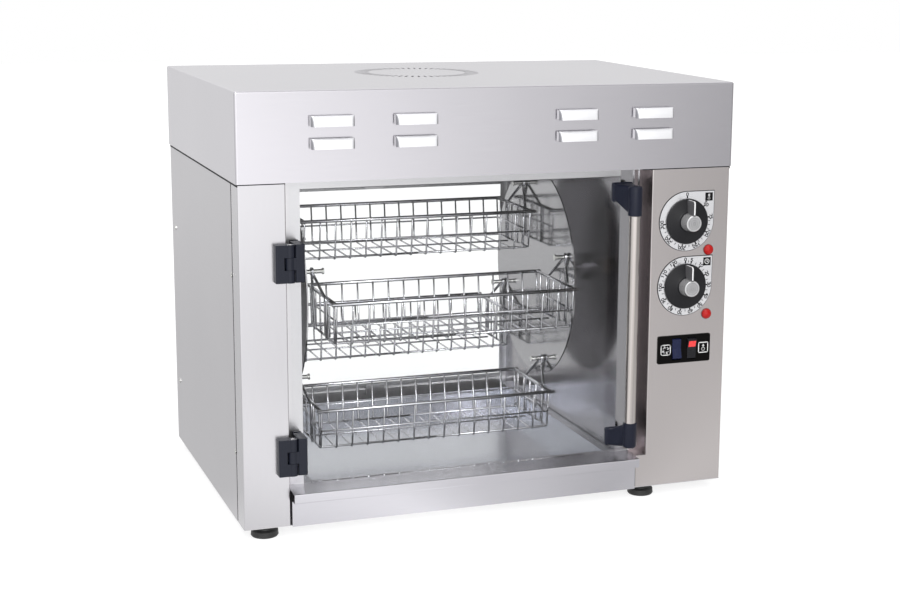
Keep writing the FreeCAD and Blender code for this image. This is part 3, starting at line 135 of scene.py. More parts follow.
def span(tree, factor, low, high):
    """Noise, most of which lies between 0.3 and 0.7, mapped to a range of numbers."""
    node = tree.nodes.new("ShaderNodeMapRange")
    node.inputs["From Min"].default_value = 0.3
    node.inputs["From Max"].default_value = 0.7
    node.inputs["To Min"].default_value = low
    node.inputs["To Max"].default_value = high
    tree.links.new(factor, node.inputs["Value"])
    return node.outputs["Result"]


def bump(tree, shader, factor, strength):
    node = tree.nodes.new("ShaderNodeBump")
    node.inputs["Strength"].default_value = strength
    node.inputs["Distance"].default_value = GRAIN_DEPTH
    tree.links.new(factor, node.inputs["Height"])
    tree.links.new(node.outputs["Normal"], shader.inputs["Normal"])


def by_facing(tree, colour, axis, start, end, painted_dark):
    """Mixes in a painted dark colour as the surface turns to an axis, from a start share to an end share."""
    geometry = tree.nodes.new("ShaderNodeNewGeometry")
    parts = tree.nodes.new("ShaderNodeSeparateXYZ")
    facing = tree.nodes.new("ShaderNodeMapRange")
    facing.inputs["From Min"].default_value = start
    facing.inputs["From Max"].default_value = end
    tree.links.new(geometry.outputs["Normal"], parts.inputs[0])
    tree.links.new(parts.outputs[axis], facing.inputs["Value"])
    mix = tree.nodes.new("ShaderNodeMix")
    mix.data_type = "RGBA"
    mix.inputs["B"].default_value = (*painted_dark, 1.0)
    tree.links.new(facing.outputs["Result"], mix.inputs["Factor"])
    tree.links.new(colour, mix.inputs["A"])
    return mix.outputs["Result"]


def brushed(name, dark, light, rough, grain, metallic=1.0, strength=0.03, facings=()):
    """Sheet metal with a fine grain drawn out along one direction, with painted shade and painted dark
    reflection mixed in on faces that turn sideways where facings are given.
    """
    material, tree, shader = new_material(name)
    lines = stretched_noise(tree, GRAIN_SCALE, grain)
    clouds = stretched_noise(tree, CLOUD_SCALE, EVEN, 2.0)
    mix = tree.nodes.new("ShaderNodeMix")
    mix.data_type = "RGBA"
    mix.blend_type = "MULTIPLY"
    mix.inputs["Factor"].default_value = 1.0
    tree.links.new(ramp(tree, lines, [(0.3, dark), (0.7, light)]), mix.inputs["A"])
    tree.links.new(ramp(tree, clouds, [(0.3, CLOUD_SHADE), (0.7, EVEN)]), mix.inputs["B"])
    colour = mix.outputs["Result"]
    for facing in facings:
        colour = by_facing(tree, colour, *facing)
    tree.links.new(colour, shader.inputs["Base Color"])
    roughness = span(tree, lines, rough - GRAIN_ROUGHNESS, rough + GRAIN_ROUGHNESS)
    tree.links.new(roughness, shader.inputs["Roughness"])
    shader.inputs["Metallic"].default_value = metallic
    bump(tree, shader, lines, strength)
    return material


def coated(name, dark, light, rough, scale=900.0, strength=0.2, sockets=None):
    """Moulded or painted surface with a fine even texture."""
    material, tree, shader = new_material(name)
    grain = stretched_noise(tree, scale, EVEN, 2.0)
    tree.links.new(ramp(tree, grain, [(0.35, dark), (0.65, light)]), shader.inputs["Base Color"])
    tree.links.new(span(tree, grain, rough - 0.04, rough + 0.05), shader.inputs["Roughness"])
    for socket, value in (sockets or {}).items():
        shader.inputs[socket].default_value = value
    bump(tree, shader, grain, strength)
    return material


def clear_pane(name):
    """Thin clear glass: what is behind shows through, with a reflection that grows at low angles."""
    material = bpy.data.materials.new(name)
    material.use_nodes = True
    tree = material.node_tree
    tree.nodes.clear()
    output = tree.nodes.new("ShaderNodeOutputMaterial")
    mix = tree.nodes.new("ShaderNodeMixShader")
    through = tree.nodes.new("ShaderNodeBsdfTransparent")
    gloss = tree.nodes.new("ShaderNodeBsdfGlossy")
    fresnel = tree.nodes.new("ShaderNodeFresnel")
    smear = stretched_noise(tree, 3.0, EVEN, 3.0)
    light = tuple(channel + CLEAR_SMEAR for channel in CLEAR)
    tree.links.new(ramp(tree, smear, [(0.3, CLEAR), (0.7, light)]), through.inputs["Color"])
    gloss.inputs["Color"].default_value = (*EVEN, 1.0)
    tree.links.new(span(tree, smear, 0.01, 0.04), gloss.inputs["Roughness"])
    fresnel.inputs["IOR"].default_value = CLEAR_IOR
    tree.links.new(fresnel.outputs[0], mix.inputs[0])
    tree.links.new(through.outputs[0], mix.inputs[1])
    tree.links.new(gloss.outputs[0], mix.inputs[2])
    tree.links.new(mix.outputs[0], output.inputs[0])
    return material


# Painted shade and painted dark reflection on surfaces that turn sideways: the axis, the shares of it where
# they start and are full, the colour

FASCIA_RETURN_DARK_REFLECTION = ("X", -0.4, -0.8, (0.22, 0.18, 0.18))
LOUVRE_END_SHADE = [("X", way * 0.25, way * 0.75, (0.26, 0.26, 0.28)) for way in (-1, 1)]

# Each metal: darker and lighter colour of its grain, roughness, direction of the grain, and the rest

BRUSHED = {
    "hood_steel": ((0.65, 0.635, 0.672), (0.67, 0.655, 0.692), 0.22, ALONG_X, {"strength": FAINT}),
    "upright_steel": ((0.63, 0.62, 0.645), (0.65, 0.64, 0.665), 0.24, ALONG_Z, {"strength": FAINT}),
    # fascia steel: its left return is painted darker, a painted dark reflection of the handle and the inside
    "fascia_steel": (
        (0.645, 0.605, 0.60), (0.665, 0.625, 0.62), 0.26, ALONG_Z,
        {"strength": FAINT, "facings": [FASCIA_RETURN_DARK_REFLECTION]}),
    "side_steel": ((0.63, 0.62, 0.64), (0.65, 0.64, 0.66), 0.36, ALONG_Y, {"strength": FAINT}),
    "tray_steel": ((0.63, 0.62, 0.66), (0.65, 0.64, 0.68), 0.26, ALONG_X, {"strength": FAINT}),
    "inner_steel": ((0.40, 0.39, 0.41), (0.42, 0.41, 0.43), 0.17, ALONG_Z, {"strength": FAINT}),
    "jamb_steel": ((0.70, 0.69, 0.71), (0.72, 0.71, 0.73), 0.30, ALONG_X, {"strength": 0.01}),
    "pan_steel": ((0.55, 0.56, 0.60), (0.57, 0.58, 0.62), 0.24, ALONG_Y, {"strength": FAINT}),
    "disc_steel": ((0.46, 0.455, 0.47), (0.48, 0.475, 0.49), 0.12, ALONG_Z, {"strength": FAINT}),
    "handle_steel": ((0.55, 0.51, 0.49), (0.58, 0.54, 0.52), 0.20, ALONG_Z, {"strength": 0.02}),
    "wire": ((0.62, 0.62, 0.65), (0.72, 0.72, 0.75), 0.20, EVEN, {}),
    "zinc": ((0.62, 0.62, 0.60), (0.70, 0.70, 0.68), 0.25, EVEN, {}),
    "knob_metal": ((0.66, 0.66, 0.67), (0.78, 0.78, 0.79), 0.26, EVEN, {"metallic": 0.75}),
    # louvre steel: a paler, less metallic copy of the hood steel as a painted highlight, with painted shade
    # on the ends that turn sideways
    "louvre_steel": (
        (0.80, 0.80, 0.82), (0.83, 0.83, 0.85), 0.35, ALONG_X,
        {"metallic": 0.35, "strength": FAINT, "facings": LOUVRE_END_SHADE}),
    "heater": ((0.09, 0.08, 0.075), (0.17, 0.15, 0.14), 0.45, EVEN, {}),
    "bronze": ((0.42, 0.29, 0.14), (0.56, 0.41, 0.21), 0.35, EVEN, {}),
    "dial_plate": (
        (0.90, 0.90, 0.93), (0.94, 0.94, 0.96), 0.22, ALONG_X, {"metallic": 0.75, "strength": 0.01}),
}

# Each moulded or painted surface: darker and lighter colour, roughness, and the rest

GLOSS = "Specular IOR Level"
LENS_TEXTURE = {"scale": 300.0, "strength": 0.1}
LENS_GLOW = {"Emission Strength": 0.25, "Emission Color": (1.0, 0.06, 0.06, 1.0)}
BULB_GLOW = {"Emission Strength": 1.2, "Emission Color": (1.0, 0.93, 0.82, 1.0)}

COATED = {
    "black_moulding": ((0.008, 0.010, 0.020), (0.013, 0.015, 0.028), 0.42, {"sockets": {GLOSS: 0.2}}),
    "black_metal": ((0.006, 0.008, 0.016), (0.010, 0.012, 0.022), 0.40, {"sockets": {GLOSS: 0.3}}),
    "foot_rubber": ((0.008, 0.008, 0.008), (0.02, 0.02, 0.02), 0.5, {}),
    "knob_black": ((0.010, 0.010, 0.012), (0.015, 0.015, 0.017), 0.34, {"sockets": {GLOSS: 0.22}}),
    # grey for the painted shade in the grooves of the knob caps
    "groove_shade_grey": ((0.20, 0.20, 0.21), (0.24, 0.24, 0.25), 0.4, {}),
    "knob_grey": ((0.085, 0.085, 0.09), (0.105, 0.105, 0.11), 0.3, {}),
    "switch_black": ((0.0015, 0.0012, 0.0012), (0.003, 0.0025, 0.0025), 0.5, {"sockets": {GLOSS: 0.08}}),
    # near black for the side seams, and for the painted shadow under the hood's edge and round the dial
    # plates
    "seam_black": ((0.010, 0.010, 0.012), (0.020, 0.020, 0.023), 0.6, {"sockets": {GLOSS: 0.2}}),
    "rocker_blue": ((0.006, 0.009, 0.035), (0.012, 0.017, 0.060), 0.16, {"sockets": {GLOSS: 0.35}}),
    "rocker_black": ((0.006, 0.006, 0.008), (0.011, 0.011, 0.014), 0.22, {"sockets": {GLOSS: 0.35}}),
    "lamp_red": (
        (0.36, 0.004, 0.003), (0.46, 0.007, 0.005), 0.14, {**LENS_TEXTURE, "sockets": {GLOSS: 0.35}}),
    # darker copy of the lamp red: painted shade at the rim of each pilot lamp lens
    "lamp_rim": ((0.10, 0.004, 0.003), (0.16, 0.008, 0.006), 0.25, {}),
    "lens_red": ((0.62, 0.02, 0.02), (0.80, 0.05, 0.05), 0.2, {**LENS_TEXTURE, "sockets": LENS_GLOW}),
    "ceramic": ((0.78, 0.76, 0.70), (0.86, 0.84, 0.79), 0.3, {}),
    "bulb": (
        (0.92, 0.88, 0.78), (1.0, 0.96, 0.88), 0.35,
        {"scale": 200.0, "strength": 0.05, "sockets": BULB_GLOW}),
    "motor_paint": ((0.14, 0.15, 0.16), (0.20, 0.21, 0.22), 0.45, {}),
    "control_body": ((0.07, 0.05, 0.045), (0.11, 0.09, 0.08), 0.5, {}),
    "ink": ((0.004, 0.004, 0.005), (0.008, 0.008, 0.009), 0.6, {"sockets": {GLOSS: 0.1}}),
    "white_ink": ((0.84, 0.84, 0.84), (0.92, 0.92, 0.92), 0.45, {}),
}

MATERIALS = {}
for material_name, (*look, options) in BRUSHED.items():
    MATERIALS[material_name] = brushed(material_name, *look, **options)
for material_name, (*look, options) in COATED.items():
    MATERIALS[material_name] = coated(material_name, *look, **options)
for material_name in ("glass", "rear_glass"):
    MATERIALS[material_name] = clear_pane(material_name)

NODE_MATERIALS = {
    "side_steel": ["left_side_panel", "right_side_panel", "base_plate", "rear_frame"],
    "upright_steel": ["left_pillar"],
    "fascia_steel": ["control_fascia"],
    "hood_steel": ["hood_cover"],
    "tray_steel": ["tray_front"],
    "pan_steel": ["drip_tray", "tray_runners"],
    "inner_steel": ["cavity_right_wall", "cavity_ceiling"],
    "jamb_steel": ["cavity_left_wall", "front_top_rail", "rear_glass_clips"],
    "disc_steel": ["rotor_disc_left", "rotor_disc_right", "drive_shaft", "idler_shaft"],
    "handle_steel": ["handle_tube"],
    "zinc": ["foot_screws", "panel_screws", "hinge_pins", "basket_pins"],
    "heater": ["heating_elements"],
    "bronze": ["shaft_bushes"],
    "black_moulding": ["handle_brackets"],
    "black_metal": ["hinge_pillar_leaves", "hinge_glass_leaves"],
    "foot_rubber": ["feet"],
    "knob_black": ["thermostat_knob", "timer_knob"],
    "knob_metal": ["thermostat_knob_cap", "timer_knob_cap"],
    "dial_plate": ["dial_bezels"],
    "switch_black": ["switch_plate", "switch_bodies"],
    "rocker_blue": ["rotation_rocker"],
    "rocker_black": ["lamp_rocker"],
    "lamp_red": ["pilot_lamps"],
    "ceramic": ["lamp_holder"],
    "bulb": ["lamp_glass"],
    "motor_paint": ["gear_motor"],
    "control_body": ["thermostat", "timer"],
    "glass": ["door_glass"],
    "rear_glass": ["rear_glass"],
}
for material_name, node_names in NODE_MATERIALS.items():
    for node_name in node_names:
        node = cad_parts[node_name]
        node.data.materials.clear()
        node.data.materials.append(MATERIALS[material_name])


# Mesh helpers

SHARP_ANGLE = 32.0


def mesh_object(name, vertices, faces, material, body, slot, smooth=False):
    """Mesh piece, in millimetres, that rides on a body and takes its finish from a material; the slot is not
    used.
    """
    mesh = bpy.data.meshes.new(name)
    mesh.from_pydata([Vector(p) * MM for p in vertices], [], faces)
    mesh.validate()
    if smooth:
        mesh.shade_smooth()
    mesh.materials.append(MATERIALS[material])
    piece = bpy.data.objects.new(name, mesh)
    bpy.context.scene.collection.objects.link(piece)
    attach(piece, body)
    return piece


def smooth_object(name, vertices, faces, material, body, slot):
    """Mesh piece with smooth curves and crisp edges."""
    piece = mesh_object(name, vertices, faces, material, body, slot, smooth=True)
    piece.data.set_sharp_from_angle(angle=math.radians(SHARP_ANGLE))
    return piece


def joined(parts):
    """Vertices and faces of several meshes as one."""
    vertices = []
    faces = []
    for part_vertices, part_faces in parts:
        start = len(vertices)
        vertices += part_vertices
        faces += [tuple(start + i for i in face) for face in part_faces]
    return vertices, faces


def between_rings(rings, closed_ends=True):
    """Skin over rings of points that have the same count."""
    count = len(rings[0])
    vertices = [point for ring in rings for point in ring]
    faces = []
    for k in range(len(rings) - 1):
        for i in range(count):
            j = (i + 1) % count
            faces.append((k * count + i, k * count + j, (k + 1) * count + j, (k + 1) * count + i))
    if closed_ends:
        faces.append(tuple(reversed(range(count))))
        faces.append(tuple(range(len(vertices) - count, len(vertices))))
    return vertices, faces


def lathe_up(centre, profile, sides=48):
    """Solid turned about a vertical axis, from (radius, height) pairs going up."""
    rings = []
    for radius, z in profile:
        angles = [2 * math.pi * i / sides for i in range(sides)]
        rings.append([
            (centre[0] + radius * math.cos(a), centre[1] + radius * math.sin(a), z) for a in angles])
    return between_rings(rings)


def lathe_out(centre, profile, sides=64, closed_ends=True):
    """Solid turned about an axis towards -Y, from (radius, distance out) pairs going outwards."""
    x, y, z = centre
    rings = []
    for radius, out in profile:
        angles = [2 * math.pi * i / sides for i in range(sides)]
        rings.append([(x + radius * math.cos(a), y - out, z + radius * math.sin(a)) for a in angles])
    return between_rings(rings, closed_ends)


def rounded_rectangle(x, y, z, width, height, radius, steps=5):
    """Ring of points across the Y direction."""
    points = []
    for quarter, (sx, sz) in enumerate(((1, 1), (-1, 1), (-1, -1), (1, -1))):
        for i in range(steps + 1):
            angle = math.pi / 2 * (quarter + i / steps)
            points.append((
                x + sx * (width / 2 - radius) + radius * math.cos(angle),
                y,
                z + sz * (height / 2 - radius) + radius * math.sin(angle)))
    return points


def slab(x_range, y_range, z_range):
    """Plain strip of a seam or of painted shadow, as vertices and faces."""
    x1, x2 = x_range
    z1, z2 = z_range
    rings = [[(x1, y, z1), (x2, y, z1), (x2, y, z2), (x1, y, z2)] for y in y_range]
    return between_rings(rings)


def rounded(points, radius, steps=5):
    """Path with each inner corner replaced by a curve near to an arc."""
    path = [Vector(points[0])]
    for before, corner, after in zip(points, points[1:], points[2:]):
        corner = Vector(corner)
        way_in = (corner - Vector(before)).normalized()
        way_out = (Vector(after) - corner).normalized()
        turn = way_in.angle(way_out)
        cut = radius * math.tan(turn / 2)
        start = corner - way_in * cut
        end = corner + way_out * cut
        for i in range(steps + 1):
            t = i / steps
            path.append(start.lerp(corner, t).lerp(corner.lerp(end, t), t))
    path.append(Vector(points[-1]))
    return path


# Width and length of a wire's narrowed end, as shares of its radius

WIRE_END = (0.55, 0.35)


def wire_mesh(paths, sides=10):
    """Vertices and faces of round wires, each a list of points and a radius, with narrowed ends."""
    narrow, reach = WIRE_END
    vertices = []
    faces = []
    for points, radius in paths:
        points = [Vector(p) for p in points]
        tangents = []
        for i, point in enumerate(points):
            ahead = points[min(i + 1, len(points) - 1)] - points[max(i - 1, 0)]
            tangents.append(ahead.normalized())
        side = tangents[0].orthogonal().normalized()
        rings = []
        first = points[0] + tangents[0] * reach * radius
        last = points[-1] - tangents[-1] * reach * radius
        stations = [(points[0], tangents[0], narrow), (first, tangents[0], 1.0)]
        stations += [(p, t, 1.0) for p, t in zip(points[1:-1], tangents[1:-1])]
        stations += [(last, tangents[-1], 1.0), (points[-1], tangents[-1], narrow)]
        before = tangents[0]
        for point, tangent, share in stations:
            side = before.rotation_difference(tangent) @ side
            before = tangent
            across = tangent.cross(side)
            start = len(vertices)
            for k in range(sides):
                angle = 2 * math.pi * k / sides
                offset = side * math.cos(angle) + across * math.sin(angle)
                vertices.append(point + offset * radius * share)
            rings.append(range(start, start + sides))
        for low, high in zip(rings, rings[1:]):
            for k in range(sides):
                faces.append((low[k], low[(k + 1) % sides], high[(k + 1) % sides], high[k]))
        faces.append(tuple(reversed(rings[0])))
        faces.append(tuple(rings[-1]))
    return vertices, faces


def ring_path(centre, radius, steps=28):
    """Closed ring about the X axis, as an open path whose ends meet."""
    return [
        Vector((centre[0], centre[1] + radius * math.cos(2 * math.pi * i / steps),
                centre[2] + radius * math.sin(2 * math.pi * i / steps)))
        for i in range(steps + 1)
    ]


# Wire baskets: round wires with bent corners in place of the plain CAD bars

def touching(first, second):
    """Distance between the axes of two wires that are welded together."""
    return 0.9 * (first + second)


def basket_cross_wires(wire_z, head_y, foot_y):
    """Bent wires from rail to rail under the basket, and the long wire that ties them."""
    wires = []
    for i in range(WIRE_COUNT):
        x = WIRE_PITCH * (i - (WIRE_COUNT - 1) / 2)
        points = [(x, -head_y, -RIM_DROP), (x, -foot_y, wire_z), (x, foot_y, wire_z), (x, head_y, -RIM_DROP)]
        wires.append((rounded(points, WIRE_BEND), FINE_WIRE))
    middle_z = wire_z + touching(FINE_WIRE, FINE_WIRE)
    wires.append(([(-LOW_HALF + 8, 0, middle_z), (LOW_HALF - 8, 0, middle_z)], FINE_WIRE))
    return wires


def basket_rails(wire_z, head_y, foot_y):
    """Top rails, a wire halfway down each side, the rods round the foot and the corner uprights."""
    rails = []
    halfway = 0.52
    for way in (-1, 1):
        rails.append(([(-RIM_HALF, way * RIM_Y, -RIM_DROP), (RIM_HALF, way * RIM_Y, -RIM_DROP)], RIM_ROD))
        z = -RIM_DROP + (wire_z + RIM_DROP) * halfway
        y = head_y + (foot_y - head_y) * halfway + touching(FINE_WIRE, FINE_WIRE)
        rails.append(([(-LOW_HALF, way * y, z), (LOW_HALF, way * y, z)], FINE_WIRE))
        loop = [
            (0, way * LOW_Y, -BASKET_DROP), (-LOW_HALF, way * LOW_Y, -BASKET_DROP),
            (-LOW_HALF, 0, -BASKET_DROP)]
        rails.append((rounded(loop, WIRE_BEND), CORNER_ROD))
        loop = [(-x, y, z) for x, y, z in loop]
        rails.append((rounded(loop, WIRE_BEND), CORNER_ROD))
        for side in (-1, 1):
            x = side * (LOW_HALF - 0.5)
            rails.append(([(x, way * head_y, -RIM_DROP), (x, way * foot_y, -BASKET_DROP)], FINE_WIRE))
    return rails


def basket_ends():
    """End frames: uprights, a top rod, a middle wire, and hangers that lean to an eye on the pin."""
    ends = []
    eye_x = DISC_HALF_GAP - EYE_INSET
    inner_top = TOP_HALF - touching(RIM_ROD, FINE_WIRE)
    inner_low = LOW_HALF - touching(CORNER_ROD, FINE_WIRE)
    rail = RIM_Y - RIM_ROD + 0.3
    for way in (-1, 1):
        for i in range(END_UPRIGHTS):
            y = (LOW_Y - 12) * (i / 2 - 1)
            ends.append(([(way * inner_top, y, -RIM_DROP), (way * inner_low, y, -BASKET_DROP)], FINE_WIRE))
        ends.append(([(way * TOP_HALF, -rail, -RIM_DROP), (way * TOP_HALF, rail, -RIM_DROP)], RIM_ROD))
        x = way * ((inner_top + inner_low) / 2 - touching(FINE_WIRE, FINE_WIRE))
        z = -(RIM_DROP + BASKET_DROP) / 2
        ends.append(([(x, -LOW_Y + 4, z), (x, LOW_Y - 4, z)], FINE_WIRE))
        eye = Vector((way * eye_x, 0, 0))
        for lean in (-1, 1):
            knee = Vector((way * (TOP_HALF + touching(RIM_ROD, HANGER_ROD)), lean * KNEE_Y, -RIM_DROP))
            toe = Vector((way * (LOW_HALF + touching(CORNER_ROD, HANGER_ROD)), lean * TOE_Y, -BASKET_DROP))
            start = eye + (knee - eye).normalized() * HANGER_START
            ends.append((rounded([start, knee, toe], HANGER_BEND), HANGER_ROD))
        for step in (-EYE_STEP, EYE_STEP):
            ends.append((ring_path((way * eye_x + step, 0, 0), EYE_RADIUS), EYE_ROD))
    return ends


def basket_paths():
    """Wires of one basket about its pin axis: cross wires, rails and end frames."""
    wire_z = -BASKET_DROP - 0.8 * (CORNER_ROD + FINE_WIRE)
    head_y = RIM_Y - touching(RIM_ROD, FINE_WIRE)
    foot_y = LOW_Y + CORNER_ROD + FINE_WIRE
    return (
        basket_cross_wires(wire_z, head_y, foot_y), basket_rails(wire_z, head_y, foot_y), basket_ends())


def pin_spots():
    spots = []
    for i in range(4):
        angle = math.radians(180 - WHEEL_ANGLE + 90 * i)
        spots.append(Vector((
            BASKET_X, WHEEL_Y + PIN_CIRCLE * math.cos(angle), WHEEL_Z + PIN_CIRCLE * math.sin(angle))))
    return spots


cross_wires, rail_wires, end_wires = basket_paths()
for number, spot in enumerate(pin_spots(), start=1):
    for word, node_word, paths in (
        ("cross_wires", "floor", cross_wires),
        ("rails", "sides", rail_wires),
        ("end_frames", "ends", end_wires),
    ):
        vertices, faces = wire_mesh(paths)
        piece = mesh_object(
            f"basket_{number}_{word}", [spot + p for p in vertices], faces, "wire",
            f"basket_{number}", "wire", smooth=True)
        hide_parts(f"basket_{number}_{node_word}")


# Printed marks: flat strokes on faces that look towards -Y

MARK = 0.12

DIGITS = {
    "0": [[(0, 0.25), (0, 0.75), (0.25, 1), (0.5, 1), (0.75, 0.75), (0.75, 0.25), (0.5, 0), (0.25, 0),
           (0, 0.25)]],
    "1": [[(0.15, 0.75), (0.45, 1), (0.45, 0)]],
    "2": [[(0, 0.8), (0.2, 1), (0.55, 1), (0.75, 0.8), (0.75, 0.6), (0, 0), (0.75, 0)]],
    "3": [[(0, 1), (0.7, 1), (0.35, 0.6), (0.7, 0.4), (0.7, 0.15), (0.5, 0), (0.2, 0), (0, 0.15)]],
    "4": [[(0.55, 0), (0.55, 1), (0, 0.3), (0.75, 0.3)]],
    "5": [[(0.7, 1), (0.1, 1), (0.05, 0.55), (0.5, 0.6), (0.72, 0.4), (0.72, 0.2), (0.5, 0), (0, 0.05)]],
    "6": [[(0.65, 1), (0.2, 0.7), (0, 0.3), (0.2, 0), (0.5, 0), (0.7, 0.25), (0.5, 0.5), (0.1, 0.45)]],
    "7": [[(0, 1), (0.75, 1), (0.3, 0)]],
    "8": [[(0.35, 0.52), (0.05, 0.75), (0.2, 1), (0.5, 1), (0.68, 0.75), (0.35, 0.52), (0, 0.28), (0.15, 0),
           (0.58, 0), (0.75, 0.28), (0.35, 0.52)]],
    "9": [[(0.1, 0), (0.55, 0.3), (0.75, 0.7), (0.55, 1), (0.25, 1), (0.05, 0.75), (0.25, 0.5),
           (0.7, 0.55)]],
}


def stroke_faces(lines, width):
    """Thin slabs along polylines of (x, z) points: vertices about y = 0 and their faces."""
    vertices = []
    faces = []
    half = width / 2
    for line in lines:
        for (x1, z1), (x2, z2) in zip(line, line[1:]):
            length = math.hypot(x2 - x1, z2 - z1)
            along = ((x2 - x1) / length * half, (z2 - z1) / length * half)
            across = (-along[1], along[0])
            start = len(vertices)
            for y in (0.0, -MARK):
                vertices += [
                    (x1 - along[0] * 0.5 - across[0], y, z1 - along[1] * 0.5 - across[1]),
                    (x2 + along[0] * 0.5 - across[0], y, z2 + along[1] * 0.5 - across[1]),
                    (x2 + along[0] * 0.5 + across[0], y, z2 + along[1] * 0.5 + across[1]),
                    (x1 - along[0] * 0.5 + across[0], y, z1 - along[1] * 0.5 + across[1]),
                ]
            a, b, c, d, e, f, g, h = range(start, start + 8)
            faces += [(a, d, c, b), (e, f, g, h), (a, b, f, e), (b, c, g, f), (c, d, h, g), (d, a, e, h)]
    return vertices, faces


def on_dial(centre, radius, angle):
    """Point at an angle in degrees, clockwise from the top."""
    turn = math.radians(angle)
    return centre[0] + radius * math.sin(turn), centre[1] + radius * math.cos(turn)


def arc(centre, radius, start, end, steps=12):
    """Points of an arc between two angles, as on a dial."""
    return [on_dial(centre, radius, start + (end - start) * i / steps) for i in range(steps + 1)]


def radial(centre, reach, angle):
    """Short line along a dial's radius, from an inner to an outer reach."""
    return [on_dial(centre, radius, angle) for radius in reach]


def printed(name, lines, width, face_y, material, body, slot):
    vertices, faces = stroke_faces(lines, width)
    placed = [(x, face_y + y, z) for x, y, z in vertices]
    mesh_object(name, placed, faces, material, body, slot)


def number_lines(text, centre, height, angle):
    """Strokes of a number that stands upright to the dial's radius at an angle."""
    turn = math.radians(angle)
    lines = []
    pitch = height * 0.95
    for i, digit in enumerate(text):
        left = (i - (len(text) - 1) / 2) * pitch - height * 0.36
        for line in DIGITS[digit]:
            points = []
            for u, w in line:
                x = left + u * height * 0.9
                z = (w - 0.5) * height
                points.append((
                    centre[0] + x * math.cos(turn) + z * math.sin(turn),
                    centre[1] - x * math.sin(turn) + z * math.cos(turn)))
            lines.append(points)
    return lines


FIGURE_RADIUS = 38.0
FIGURE_HEIGHT = 4.2
FIGURE_STROKE = 1.0
POINTER_REACH = (33.0, 35.2)
POINTER_STROKE = 1.9
TICK_REACH = (33.8, 36.6)
TICK_STROKE = 0.75

# Angle and figure of each mark on the dial plates, clockwise from the top

THERMOSTAT_SCALE = [
    (0, "0"), (52, "50"), (82, "75"), (118, "100"), (155, "150"), (190, "200"), (228, "250"), (265, "300")]
TIMER_SCALE = [
    (0, "0"), (15, "5"), (40, "10"), (65, "20"), (90, "30"), (115, "40"), (140, "50"), (165, "60"),
    (190, "70"), (215, "80"), (240, "90"), (270, "100"), (300, "110"), (330, "120")]


def dial_marks(name, height, scale, ticks_from, ticks_between):
    """Figures with a pointer under each, and small ticks between them, round a dial."""
    centre = (DIAL_X, height)
    ticks = []
    figures = []
    pointers = []
    for i, (angle, text) in enumerate(scale):
        figures += number_lines(text, on_dial(centre, FIGURE_RADIUS, angle), FIGURE_HEIGHT, angle)
        pointers.append(radial(centre, POINTER_REACH, angle))
        if angle < ticks_from or i == len(scale) - 1:
            continue
        step = (scale[i + 1][0] - angle) / (ticks_between + 1)
        for k in range(1, ticks_between + 1):
            ticks.append(radial(centre, TICK_REACH, angle + step * k))
    for word, lines, stroke in (
        ("ticks", ticks, TICK_STROKE),
        ("pointers", pointers, POINTER_STROKE),
        ("numbers", figures, FIGURE_STROKE),
    ):
        printed(f"{name}_{word}", lines, stroke, BEZEL_FACE, "ink", "case", "switch_black")


dial_marks("thermostat", DIAL_HEIGHTS["thermostat"], THERMOSTAT_SCALE, 82, 3)
dial_marks("timer", DIAL_HEIGHTS["timer"], TIMER_SCALE, 0, 1)


SHADOW_RIM_MARGIN = 0.9
SHADOW_RIM_DEPTH = 0.6


def dial_shadow_rims():
    """Dark ring, a painted shadow of the raised plate's edge, that shows as a thin line round each dial
    plate.
    """
    parts = []
    rim = BEZEL_RADIUS + SHADOW_RIM_MARGIN
    for height in DIAL_HEIGHTS.values():
        outline = arc((DIAL_X, height), rim, 90, 360, 48)
        outline.append((DIAL_X + rim, height + rim))
        rings = [[(x, y, z) for x, z in outline] for y in (BODY_FRONT, BODY_FRONT - SHADOW_RIM_DEPTH)]
        parts.append(between_rings(rings))
    mesh_object("dial_shadow_rims", *joined(parts), "seam_black", "case", "switch_black")


dial_shadow_rims()

ICON_INSET = (7.9, 8.0)
ICON_SIDE = 11.6
ICON_SCALE = 1.3
ICON_STROKE = 0.9


def dial_icon(name, height, lines):
    """Black square in the corner of a dial plate with a small white sign on it."""
    x, z = (DIAL_X + BEZEL_RADIUS - ICON_INSET[0], height + BEZEL_RADIUS - ICON_INSET[1])
    ground = [[(x - ICON_SIDE / 4, z), (x + ICON_SIDE / 4, z)]]
    printed(f"{name}_icon_ground", ground, ICON_SIDE, BEZEL_FACE, "ink", "case", "switch_black")
    placed = [[(x + ICON_SCALE * u, z + ICON_SCALE * w) for u, w in line] for line in lines]
    printed(f"{name}_icon", placed, ICON_STROKE, BEZEL_FACE - MARK, "white_ink", "case", "dial_plate")


dial_icon("thermostat", DIAL_HEIGHTS["thermostat"], [
    [(0, 2.8), (0, -0.6)], [(-0.9, 2.4), (0.9, 2.4)], [(-0.9, 1.0), (0.9, 1.0)],
    arc((0, -1.9), 1.1, 0, 360, 12)])
dial_icon("timer", DIAL_HEIGHTS["timer"], [
    arc((0, 0), 2.6, 0, 360, 16), [(0, 0), (0, 1.6)], [(0, 0), (1.1, -0.6)]])

# Signs on the switch plate: turning arrows on the left, an oven lamp on the right

LEFT_SIGN = (SWITCH_X - 28.7, SWITCH_Z)
RIGHT_SIGN = (SWITCH_X + 30.3, SWITCH_Z)
SIGN_HALF = 7.2
SIGN_STROKE = 1.1


def rounded_square(centre, half, radius):
    x, z = centre
    inner = half - radius
    points = []
    for sx, sz, start in ((1, 1, 0), (1, -1, 90), (-1, -1, 180), (-1, 1, 270)):
        points += arc((x + sx * inner, z + sz * inner), radius, start, start + 90, 4)
    return points + points[:1]


